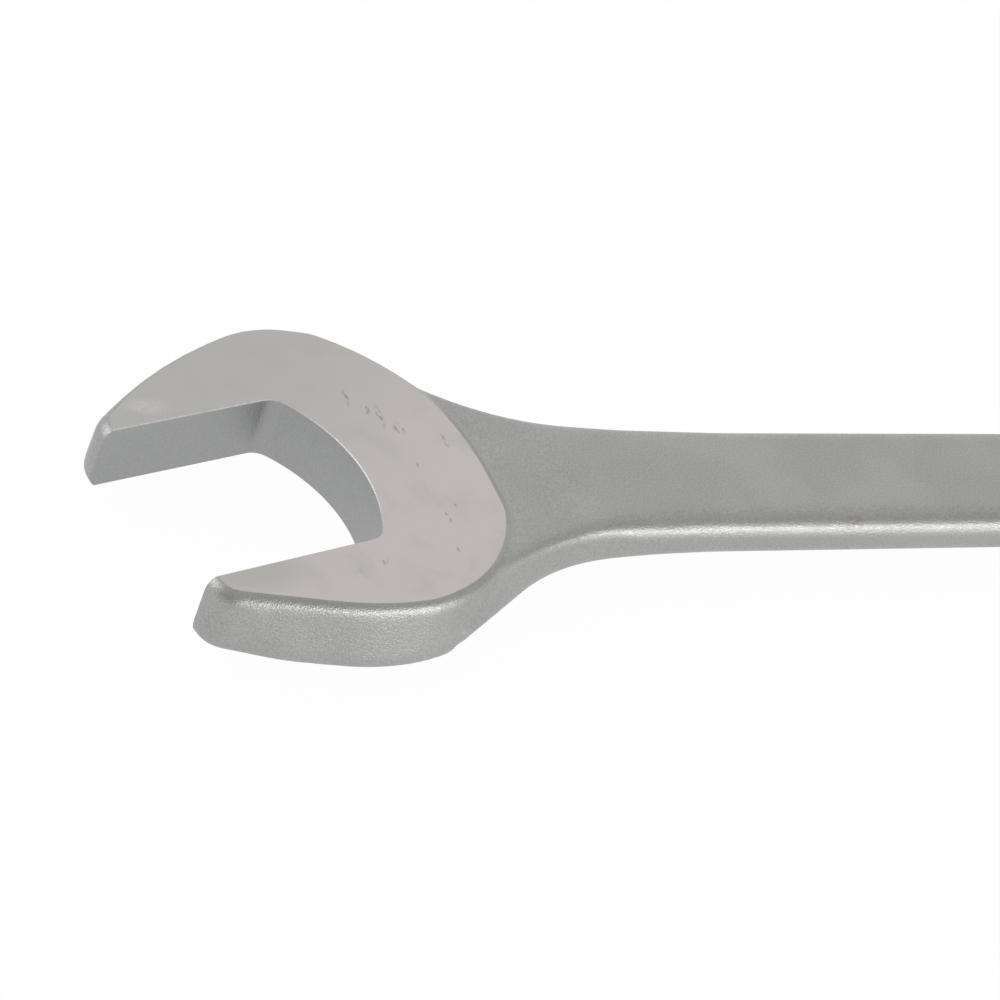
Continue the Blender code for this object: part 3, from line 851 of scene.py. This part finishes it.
    def half_height(self, x: float) -> float:
        """The bar's half height at a place along the shank.

        Args:
            x: The place, from the head's centre.

        Returns:
            Half of the bar's height there.
        """
        ramp_top = LEVER_AXIS.x - self.head.x - self.land_reach
        if x < self.near.end:
            rise = eased((self.near.end - x) / (self.near.end - self.neck_start))
            return self.shank_height + (self.neck_height - self.shank_height) * rise
        rise = eased((x - ramp_top + self.ramp) / self.ramp)
        return self.shank_height + (self.land - self.shank_height) * rise

    def ring_reach(self, x: float, half_width: float) -> float:
        """The bar's half width where it flares into the ratchet housing.

        Args:
            x: The place, from the head's centre.
            half_width: The half width before the flare.

        Returns:
            The half width with the flare.
        """
        radius = self.housing_radius - self.flare_inset
        run = math.sqrt((radius + self.ring_neck) ** 2 - (half_width + self.ring_neck) ** 2)
        centre = RING_AXIS.x - self.head.x
        if x < centre - run:
            return half_width
        if x > centre - run * radius / (radius + self.ring_neck):
            return math.sqrt(max(radius ** 2 - (x - centre) ** 2, half_width ** 2))
        return half_width + self.ring_neck - math.sqrt(self.ring_neck ** 2 - (x - centre + run) ** 2)

    def section(self, x: float) -> Ring:
        """One closed, round-cornered section of the bar.

        Args:
            x: The place, from the head's centre.

        Returns:
            The section's points.
        """
        middle = (RING_AXIS.x - self.head.x) / 2
        far, near = self.far.reach(x), self.near.reach(x)
        if x > middle:
            far, near = (self.ring_reach(x, half) for half in (far, near))
        height = self.half_height(x)
        rounder = eased((x - self.edge_start) / self.edge_run)
        radius = self.neck_edge + (self.shank_edge - self.neck_edge) * rounder
        lean = self.neck_lean * eased((self.lean_end - x) / (self.lean_end - self.neck_start))
        corners = ((far, height), (lean - near, height), (-near, -height), (far, -height))
        points: Outline = []
        for turn, (y, z) in enumerate(corners):
            y -= math.copysign(radius, y)
            z -= math.copysign(radius, z)
            points += arc(radius, turn * math.pi / 2, (turn + 1) * math.pi / 2, 6, y, z)
        return [self.head + Vector((x, y, z)) for y, z in points]

    def bar(self) -> Object:
        """The neck, shank and ramp, lofted from the head into the housing.

        Returns:
            The blank.
        """
        end = RING_AXIS.x - self.head.x - self.bore
        stride = (end - self.neck_start) / self.stations
        places = [self.neck_start + stride * step for step in range(self.stations + 1)]
        return Bench.loft("bar_blank", [self.section(x) for x in places])

    def boss(self) -> Object:
        """The housing's blank.

        Returns:
            The blank, a disc with two rounded rims.
        """
        half = MID_Z - self.housing_rim
        rim = [(self.housing_radius - self.housing_rim + x, half + y)
               for x, y in arc(self.housing_rim, 0.0, math.pi / 2, 6)]
        profile = [(r, -z) for r, z in reversed(rim)] + rim
        return Bench.turned("boss_blank", profile, Matrix.Translation(RING_AXIS), 180)

    def jaw_outline(self, grow: float) -> Outline:
        """The jaw's opening: two flats, two corner arcs and the throat's arc.

        Args:
            grow: How far it is offset outwards.

        Returns:
            The closed outline.
        """
        half = self.jaw_half + grow
        depth = self.throat_depth + grow
        corner = self.corner_radius + grow
        radius = (half ** 2 + depth ** 2) / (2 * depth)
        throat_x = depth - radius
        corner_y = half - corner
        corner_x = throat_x + math.sqrt((radius - corner) ** 2 - corner_y ** 2)
        turn = math.atan2(corner_y, corner_x - throat_x)
        upper = [(-4 * self.head_thickness, half)]
        upper += arc(corner, math.pi / 2, turn, 16, corner_x, corner_y)
        upper += arc(radius, turn, 0.0, 24, throat_x)[1:]
        return upper + [(x, -y) for x, y in reversed(upper[:-1])]

    def jaw_tool(self) -> Object:
        """The broach that cuts the jaw, flared a little at both faces.

        Returns:
            The broach, with its zones marked.
        """
        place = Matrix.Translation(self.head) @ Matrix.Rotation(self.jaw_angle, 4, "Z")
        flare = 2 * self.burr
        levels = [(self.face - self.burr, 0.0), (self.face + self.burr, flare), (MID_Z, flare)]
        levels = [(-z, grow) for z, grow in reversed(levels)] + levels
        rings = [[place @ Vector((x, y, z)) for x, y in self.jaw_outline(grow)] for z, grow in levels]
        tool = Bench.loft("jaw_tool", rings)
        for polygon in tool.data.polygons:
            # The sloped flare faces take the chamfer zone, whose pale colour is a painted highlight
            sloped = 0.3 < abs(polygon.normal.z) < 0.9
            polygon.material_index = Zone.BURR_HIGHLIGHT if sloped else Zone.JAW
        return tool

    def grinding_tool(self, side: int) -> Object:
        """The block that one of the head's faces is ground away by.

        Args:
            side: 1 for the upper face, -1 for the lower one.

        Returns:
            The block.
        """
        deep = 2 * self.head_thickness
        bpy.ops.object.select_all(action="DESELECT")
        place = self.head + Vector((self.grinder_ahead, 0.0, side * (self.face + deep / 2)))
        bpy.ops.mesh.primitive_cube_add(size=1.0, location=place, scale=(*self.grinder, deep))
        bpy.ops.object.transform_apply(location=True, rotation=True, scale=True)
        return bpy.context.object

    def pocket_outline(self) -> Outline:
        """The pawl's pocket: wide at the noses, narrow at the tail, round at the stem.

        Returns:
            The closed outline.
        """
        pivot, stem = (RING_AXIS.x - axis.x for axis in (PAWL_AXIS, LEVER_AXIS))
        half = [(self.lip - self.pocket_mouth, self.pocket_wide), (self.pocket_shoulder, self.pocket_wide),
                (pivot + self.pocket_waist, self.pocket_narrow)]
        half += arc(self.pocket_narrow, math.pi / 2, 0.0, 12, stem)
        return half + [(x, -y) for x, y in reversed(half[:-1])]

    def bore_tool(self) -> Object:
        """The housing's bore with its groove, the pawl's pocket and the two holes.

        Returns:
            The joined tool.
        """
        past = 2 * MID_Z
        top = MID_Z
        wide_bore, wide_lip = self.bore + self.chamfer, self.lip + self.chamfer
        seat = self.clip_depth - self.land
        bore = [(wide_bore, past), (wide_bore, top), (self.bore, top - self.chamfer),
                (self.bore, self.groove_top), (self.groove, self.groove_top), (self.groove, self.groove_base),
                (self.bore, self.groove_base), (self.bore, self.lip_height - top),
                (self.lip, self.lip_height - top), (self.lip, self.chamfer - top),
                (wide_lip, -top), (wide_lip, -past)]
        stem = [(self.stem, past), (self.stem, 0.0), (self.stem_foot, 0.0), (self.stem_foot, seat),
                (self.clip_seat, seat), (self.clip_seat, -past)]
        pin = [(self.pin, self.land - self.pin_roof), (self.pin, -past)]
        tool = Bench.turned("bore_tool", bore, Matrix.Translation(RING_AXIS), 180)
        ring = Matrix.Translation(RING_AXIS) @ Matrix.Rotation(math.pi, 4, "Z")
        pocket = Bench.prism("pocket_tool", self.pocket_outline(), -self.pocket_half, self.pocket_half, ring)
        Bench.combine(tool, pocket, Merge.JOIN)
        Bench.combine(tool, Bench.turned("stem_tool", stem, Matrix.Translation(LEVER_AXIS)), Merge.JOIN)
        Bench.combine(tool, Bench.turned("pin_tool", pin, Matrix.Translation(PAWL_AXIS), 48), Merge.JOIN)
        return tool

    def machine(self, body: Object) -> None:
        """Grinds the head's faces, broaches the jaw and bores the housing, all in one cut.

        Args:
            body: The forging's blank.
        """
        tool = self.jaw_tool()
        for material in body.data.materials:
            tool.data.materials.append(material)
        Bench.combine(tool, self.bore_tool(), Merge.JOIN, Zone.BORE)
        for side in (1, -1):
            Bench.combine(tool, self.grinding_tool(side), Merge.JOIN, Zone.GROUND)
        Bench.combine(body, tool, Merge.CUT)

    def build(self) -> Object:
        """Makes the forging and dresses it.

        Returns:
            The finished piece.
        """
        body = self.head_blank()
        Bench.pick(body, self.bar(), self.boss())
        bpy.ops.object.join()
        body.name = body.data.name = "wrench_forging"
        Bench.apply(body, "REMESH", mode="VOXEL", voxel_size=self.voxel)
        Bench.apply(body, "SMOOTH", factor=self.smoothing, iterations=self.passes)
        for material in self.finishes():
            body.data.materials.append(material)
        self.machine(body)
        return ride(Bench.finish(body), "wrench_body", "forged_body")

    def finishes(self) -> list[Material]:
        """The forging's materials, in the order of its zones."""
        return [
            BlastedSteel(stain=self.head + Vector(self.stain)).make(),
            GroundSteel(self.head).make(),
            MilledSteel("jaw_wall", (0.375, 0.382, 0.378), (0.325, 0.332, 0.328), 0.46).make(),
            # Painted highlight: the chamfer's pale colour stands in for the light its edge catches; the chamfer
            # itself is real
            MilledSteel("jaw_burr_highlight", (0.72, 0.71, 0.69), (0.50, 0.49, 0.48), 0.5).make(),
            TurnedSteel("housing_bore", RING_AXIS, (0.36, 0.355, 0.35), (0.30, 0.295, 0.29), 0.32).make(),
        ]


def ride(piece: Object, body: str, node: str) -> Object:
    """Puts a finished piece on its body, in place of the solid that it stands for.

    Args:
        piece: The finished piece.
        body: The body that it moves with.
        node: The solid that it replaces, which is hidden.

    Returns:
        The same piece.
    """
    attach(piece, body)
    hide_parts(node)
    return piece


def split_ring(outer: float, inner: float, opening: float) -> Outline:
    """A split ring's outline, open at +X.

    Args:
        outer: The outer radius.
        inner: The inner radius.
        opening: The open angle in degrees.

    Returns:
        The closed outline.
    """
    start = math.radians(opening / 2)
    end = 2 * math.pi - start
    return arc(outer, start, end, 90) + arc(inner, end, start, 90)


@dataclass
class RingSet:
    """Drive ring with its washers and the clip that holds it in."""

    flat: float = 16.075 * MM
    root: float = 21.56 * MM
    tip: float = 22.56 * MM
    teeth: int = 72
    teeth_half: float = 5.5 * MM
    root_share: float = 0.46
    tip_share: float = 0.06
    socket_edge: float = 0.3 * MM
    journal: float = 20.46 * MM
    chamfer: float = 0.35 * MM
    lead_in: float = 0.8 * MM
    clip_outer: float = 23.76 * MM
    clip_base: float = 6.9 * MM
    clip_thickness: float = 1.4 * MM
    clip_opening: float = 24.0
    clip_edge: float = 0.25 * MM
    clip_hole: float = 0.65 * MM
    clip_hole_turn: float = 4.5

    def __post_init__(self) -> None:
        """Works out the sizes that follow from the others."""
        self.place = Matrix.Translation(RING_AXIS)
        self.half = MID_Z - GAP
        self.inner = self.journal + GAP

    def tooth_ring(self, height: float, grow: float) -> Ring:
        """One ring of points round the teeth.

        Args:
            height: The ring's height.
            grow: How far the teeth are offset outwards.

        Returns:
            The ring's points.
        """
        pitch = 2 * math.pi / self.teeth
        flanks = ((self.root, -self.root_share), (self.tip, -self.tip_share),
                  (self.tip, self.tip_share), (self.root, self.root_share))
        points = []
        for tooth in range(self.teeth):
            for radius, share in flanks:
                turn = Matrix.Rotation((tooth + share) * pitch, 4, "Z")
                points.append(self.place @ turn @ Vector((radius + grow, 0.0, height)))
        return points

    def socket_outline(self) -> Outline:
        """The 12-point socket, two hexagons turned by 30 degrees.

        Returns:
            The closed outline.
        """
        point = self.flat / math.cos(math.pi / 6)
        valley = self.flat / math.cos(math.pi / 12)
        spokes = arc(1.0, 0.0, 2 * math.pi, 24)[:-1]
        reaches = (point, valley)
        return [(reaches[turn % 2] * x, reaches[turn % 2] * y) for turn, (x, y) in enumerate(spokes)]

    def drive_ring(self) -> Object:
        """The toothed ring with two journals, the socket and its lead-ins.

        Returns:
            The finished piece.
        """
        end = self.half - self.chamfer
        profile = [(self.journal - self.chamfer, self.half), (self.journal, end)]
        profile += [(r, -z) for r, z in reversed(profile)]
        ring = Bench.turned("socket_ring", profile, self.place, 144)
        dress(ring, TurnedSteel("ring_steel", RING_AXIS))
        levels = ((-self.teeth_half, -self.chamfer), (self.chamfer - self.teeth_half, 0.0),
                  (self.teeth_half - self.chamfer, 0.0), (self.teeth_half, -self.chamfer))
        teeth = Bench.loft("teeth_blank", [self.tooth_ring(z, grow) for z, grow in levels])
        Bench.combine(ring, teeth, Merge.JOIN)
        socket = Bench.prism("socket_tool", self.socket_outline(), -2 * MID_Z, 2 * MID_Z, self.place)
        Bench.soften(socket, self.socket_edge, 3, lambda a, b: abs(a.z - b.z) > MID_Z)
        Bench.combine(ring, socket, Merge.CUT)
        mouth = self.flat / math.cos(math.pi / 6) + GAP
        for side in (1, -1):
            cone = [(mouth + MID_Z, side * (self.half + MID_Z)),
                    (mouth - 2 * self.lead_in, side * (self.half - 2 * self.lead_in))]
            Bench.combine(ring, Bench.turned("lead_in_tool", cone, self.place, 144), Merge.CUT)
        return ride(Bench.finish(ring), "ring", "drive_ring")

    def washers(self) -> list[Object]:
        """Dresses the two thrust washers' own solids, which the housing hides.

        Returns:
            The two washers.
        """
        washers = [frame["nodes"][side + "_thrust_washer"] for side in ("lower", "upper")]
        for washer in washers:
            dress(washer, TurnedSteel(washer.name + "_steel", RING_AXIS))
        return washers

    def clip(self) -> Object:
        """The split ring in the housing's groove, with a hole in each end for pliers.

        Returns:
            The finished piece.
        """
        outline = split_ring(self.clip_outer, self.inner, self.clip_opening)
        top = self.clip_base + self.clip_thickness
        clip = Bench.prism("ring_clip", outline, self.clip_base, top, self.place)
        Bench.soften(clip, self.clip_edge, 3, level)
        dress(clip, DarkSteel("clip_steel"))
        middle = (self.clip_outer + self.inner) / 2
        for side in (1, -1):
            turn = math.radians(self.clip_opening / 2 + self.clip_hole_turn)
            heading = Matrix.Rotation(side * turn, 4, "Z")
            hole = self.place @ heading @ Matrix.Translation((middle, 0.0, 0.0))
            profile = [(self.clip_hole, 0.0), (self.clip_hole, 2 * MID_Z)]
            Bench.combine(clip, Bench.turned("clip_hole_tool", profile, hole, 32), Merge.CUT)
        return ride(Bench.finish(clip), "wrench_body", "ring_retaining_clip")

    def build(self) -> list[Object]:
        """Makes every piece of the set."""
        return [self.drive_ring(), *self.washers(), self.clip()]


@dataclass
class PawlSet:
    """The pawl's pin, and the finish of the pawl inside the housing."""

    radius: float = 2.0 * MM
    top: float = 6.6 * MM
    base: float = -8.8 * MM
    edge: float = 0.3 * MM

    def build(self) -> list[Object]:
        """Makes the pin and dresses the pawl's own solid.

        Returns:
            The pin and the pawl.
        """
        profile = [(self.radius - self.edge, self.base), (self.radius, self.base + self.edge),
                   (self.radius, self.top - self.edge), (self.radius - self.edge, self.top)]
        pin = Bench.turned("pawl_dowel", profile, Matrix.Translation(PAWL_AXIS), 48)
        dress(pin, TurnedSteel("pin_steel", PAWL_AXIS))
        pawl = frame["nodes"]["pawl"]
        dress(pawl, DarkSteel("pawl_steel"))
        return [ride(Bench.finish(pin), "wrench_body", "pawl_pin"), pawl]


@dataclass
class LeverSet:
    """Reversing lever with its clip, plunger and spring."""

    under: float = 9.4 * MM
    thickness: float = 2.8 * MM
    disc: float = 7.5 * MM
    tab_length: float = 15 * MM
    tab_radius: float = 4.0 * MM
    edge: float = 0.8 * MM
    ridge_pitch: float = 1.7 * MM
    ridges: int = 5
    ridge_radius: float = 0.9 * MM
    ridge_depth: float = 0.3 * MM
    line_inner: float = 5.0 * MM
    line_outer: float = 5.5 * MM
    line_flare: float = 0.5 * MM
    stem: float = 5.0 * MM
    foot: float = 4.0 * MM
    shoulder: float = -5.0 * MM
    clip_floor: float = -7.2 * MM
    groove: float = 3.0 * MM
    clip_thickness: float = 0.8 * MM
    clip_outer: float = 6.3 * MM
    clip_opening: float = 96.0
    clip_edge: float = 0.15 * MM
    stem_end: float = -8.8 * MM
    plunger_radius: float = 1.8 * MM
    plunger_length: float = 6.0 * MM
    plunger_reach: float = 7.2 * MM
    spring_length: float = 4.2 * MM
    wire: float = 0.25 * MM
    turns: int = 6
    turn_steps: int = 16
    travel: float = 0.8 * MM

    def __post_init__(self) -> None:
        """Works out the lever's frame and the plunger's line."""
        heading = math.atan2(PLUNGER_LINE.y, PLUNGER_LINE.x)
        self.place = Matrix.Translation(LEVER_AXIS) @ Matrix.Rotation(heading, 4, "Z")
        self.line = self.place @ Matrix.Rotation(math.pi / 2, 4, "Y")
        self.top = self.under + self.thickness
        self.seat = self.plunger_reach - self.plunger_length - 2 * GAP - self.spring_length

    def tab(self) -> Object:
        """The thumb plate, rounded at its rims.

        Returns:
            The plate.
        """
        lean = math.acos((self.disc - self.tab_radius) / self.tab_length)
        outline = arc(self.disc, math.pi - lean, lean - math.pi, 64)
        outline += arc(self.tab_radius, lean - math.pi, -lean - math.pi, 32, -self.tab_length)
        tab = Bench.prism("thumb_lever", outline, self.under, self.top, self.place)
        Bench.soften(tab, self.edge, 5, level)
        return tab

    def lever(self) -> Object:
        """The lever with its stem, clip groove, thumb ridges, ring line and plunger hole.

        Returns:
            The finished piece.
        """
        lever = self.tab()
        dress(lever, BlastedSteel("lever_satin", roughness=0.3, depth=0.012 * MM))
        low = self.clip_floor - self.clip_thickness - 2 * GAP
        profile = [(self.stem, self.under + self.thickness / 2), (self.stem, self.shoulder),
                   (self.foot, self.shoulder), (self.foot, self.clip_floor), (self.groove, self.clip_floor),
                   (self.groove, low), (self.foot, low), (self.foot, self.stem_end + self.edge / 2),
                   (self.foot - self.edge / 2, self.stem_end)]
        Bench.combine(lever, Bench.turned("stem_blank", profile, self.place), Merge.JOIN)
        bar = self.ridge_radius
        sunk, proud = self.top - self.ridge_depth, self.top + self.ridge_depth
        for ridge in range(self.ridges):
            x = -self.tab_length + (self.ridges // 2 - ridge) * self.ridge_pitch
            lying = self.place @ Matrix.Translation((x, 0.0, sunk + bar))
            lying = lying @ Matrix.Rotation(math.pi / 2, 4, "X")
            notch = Bench.turned("ridge_tool", [(bar, -self.disc), (bar, self.disc)], lying, 48)
            Bench.combine(lever, notch, Merge.CUT)
        ring = [(self.line_inner, sunk), (self.line_outer, sunk), (self.line_outer + self.line_flare, proud),
                (self.line_inner - self.line_flare, proud)]
        Bench.combine(lever, Bench.turned("ring_line_tool", ring, self.place, 96, hollow=True), Merge.CUT)
        hole = self.plunger_radius + GAP
        bored = [(hole, self.seat - GAP), (hole, 2 * self.stem)]
        Bench.combine(lever, Bench.turned("plunger_hole_tool", bored, self.line, 48), Merge.CUT)
        return ride(Bench.finish(lever), "lever", "reversing_lever")

    def clip(self) -> Object:
        """The snap clip in the stem's groove, under the housing.

        Returns:
            The finished piece.
        """
        top = self.clip_floor - GAP
        outline = split_ring(self.clip_outer, self.groove + GAP, self.clip_opening)
        clip = Bench.prism("stem_clip", outline, top - self.clip_thickness, top, self.place)
        Bench.soften(clip, self.clip_edge, 3, level)
        dress(clip, DarkSteel("stem_clip_steel"))
        return ride(Bench.finish(clip), "lever", "lever_clip")

    def plunger(self) -> Object:
        """The domed pin that presses the pawl's tail to one side.

        Returns:
            The finished piece.
        """
        dome = [(x, self.plunger_reach - self.plunger_radius + y)
                for x, y in arc(self.plunger_radius, 0.0, 0.49 * math.pi, 8)]
        profile = [(self.plunger_radius, self.plunger_reach - self.plunger_length)] + dome
        plunger = Bench.turned("detent_pin", profile, self.line, 48)
        dress(plunger, TurnedSteel("plunger_steel", LEVER_AXIS))
        return ride(Bench.finish(plunger), "plunger", "detent_plunger")

    def spring(self) -> Object:
        """The coil spring behind the plunger.

        Returns:
            The finished piece.
        """
        mean = self.plunger_radius - self.wire
        run = self.spring_length - 2 * self.wire
        count = self.turn_steps * self.turns
        rings = []
        for step in range(count + 1):
            share = step / count
            turn = Matrix.Rotation(2 * math.pi * self.turns * share, 4, "Z")
            at = self.line @ turn @ Matrix.Translation((mean, 0.0, self.seat + self.wire + run * share))
            rings.append([at @ Vector((x, 0.0, z)) for x, z in arc(self.wire, 0.0, 2 * math.pi, 8)[:-1]])
        spring = Bench.loft("detent_coil", rings)
        dress(spring, DarkSteel("spring_wire"))
        ride(Bench.finish(spring), "lever", "detent_spring")
        fixed = self.line @ Vector((0.0, 0.0, self.seat))
        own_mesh(spring)
        return spring

    def build(self) -> list[Object]:
        """Makes every piece of the set."""
        return [self.lever(), self.clip(), self.plunger(), self.spring()]


@dataclass(frozen=True)
class Lamp:
    """A rectangular lamp: the way to it, its size in metres and its power in watts."""

    name: str
    way: tuple[float, float, float]
    width: float
    height: float
    power: float

    def hang(self, aim: Vector, distance: float) -> None:
        """Hangs the lamp, facing the tool.

        Args:
            aim: The point that it faces.
            distance: How many times the way's length it hangs off.
        """
        way = Vector(self.way)
        bpy.ops.object.light_add(type="AREA", location=aim + distance * way)
        lamp = bpy.context.object
        lamp.name = self.name
        lamp.data.shape = "RECTANGLE"
        lamp.data.size = self.width
        lamp.data.size_y = self.height
        lamp.data.energy = self.power
        lamp.rotation_euler = (-way).to_track_quat("-Z", "Y").to_euler()


@dataclass
class Studio:
    """White floor, soft sky, two lamps and the photo's camera.

    The low strip in front draws the bright line along rounded edges, and the
    window lights the jaw's tips.
    """

    target: Vector = Vector((-0.13920, -0.00778, 0.01515))
    distance: float = 0.49484
    azimuth: float = -33.662
    elevation: float = 38.316
    roll: float = 22.007
    lens: float = 115.2
    clip_start: float = 0.01
    floor_size: float = 12.0
    floor_white: Colour = (0.85, 0.85, 0.85)
    floor_roughness: float = 0.9
    floor_glow: float = 0.97
    sky_way: tuple[float, float, float] = (0.2, 0.97, 0.1)
    sky_rise: float = 0.25
    sky_level: float = 0.74
    aim: Vector = Vector((-0.05, 0.0, 0.01))
    lamp_distance: float = 0.8
    lamps: tuple[Lamp, ...] = (
        Lamp("front_strip", (0.40, -0.90, 0.16), 0.85, 0.28, 2.6),
        Lamp("left_window", (-0.85, 0.35, 0.40), 0.5, 0.5, 1.1),
    )

    def camera(self) -> None:
        """Sets the camera up at the photo's angle."""
        turn = Matrix.Rotation(math.radians(self.azimuth), 4, "Z")
        tilt = Matrix.Rotation(math.radians(90 - self.elevation), 4, "X")
        roll = Matrix.Rotation(math.radians(self.roll), 4, "Z")
        back = Matrix.Translation((0.0, 0.0, self.distance))
        bpy.ops.object.camera_add()
        camera = bpy.context.object
        camera.name = "photo_camera"
        camera.data.lens = self.lens
        camera.data.clip_start = self.clip_start
        camera.matrix_world = Matrix.Translation(self.target) @ turn @ tilt @ roll @ back
        bpy.context.scene.camera = camera

    def floor(self) -> None:
        """Lays a wide white floor that shows white to the camera and in the steel."""
        bpy.ops.object.select_all(action="DESELECT")
        bpy.ops.mesh.primitive_plane_add(size=self.floor_size)
        floor = bpy.context.object
        floor.name = "floor"
        recipe = Recipe("white_floor")
        recipe.feed(recipe.shader.inputs["Base Color"], (*self.floor_white, 1.0))
        recipe.feed(recipe.shader.inputs["Roughness"], self.floor_roughness)
        paint = Wire(recipe, recipe.shader.outputs[0])
        glow = recipe.node("ShaderNodeEmission", None, {"Strength": 1.0})
        camera, glossy, clear = (recipe.node("ShaderNodeLightPath", output=ray)
                                 for ray in ("Is Camera Ray", "Is Glossy Ray", "Is Transmission Ray"))
        share = (camera | glossy | clear) * self.floor_glow
        blend = recipe.node("ShaderNodeMixShader", None, {0: share, 1: paint, 2: glow})
        recipe.feed(recipe.tree.nodes["Material Output"].inputs["Surface"], blend)
        floor.data.materials.append(recipe.material)

    def sky(self) -> None:
        """A plain soft sky, brighter behind the tool than in front of it."""
        world = bpy.data.worlds.new("soft_sky")
        world.use_nodes = True
        bpy.context.scene.world = world
        nodes = Nodes(world.node_tree)
        way = nodes.node("ShaderNodeTexCoord", output="Generated")
        behind = nodes.node("ShaderNodeVectorMath", {"operation": "DOT_PRODUCT"},
                            {0: way, 1: self.sky_way}, "Value")
        background = world.node_tree.nodes["Background"]
        nodes.feed(background.inputs["Color"], (1.0, 1.0, 1.0, 1.0))
        nodes.feed(background.inputs["Strength"], behind * self.sky_rise + self.sky_level)

    def build(self) -> None:
        """Sets up floor, light, camera and colour handling."""
        self.floor()
        self.sky()
        for lamp in self.lamps:
            lamp.hang(self.aim, self.lamp_distance)
        self.camera()
        bpy.context.scene.view_settings.view_transform = "Standard"


def main() -> None:
    """Builds every sub-assembly and the studio."""
    logging.basicConfig(level=logging.INFO, format="%(name)s: %(message)s")
    for piece in (Forging().build(), *RingSet().build(), *PawlSet().build(), *LeverSet().build()):
        LOG.info("%s: %d faces", piece.name, len(piece.data.polygons))
    Studio().build()


if __name__ == "__main__":
    main()
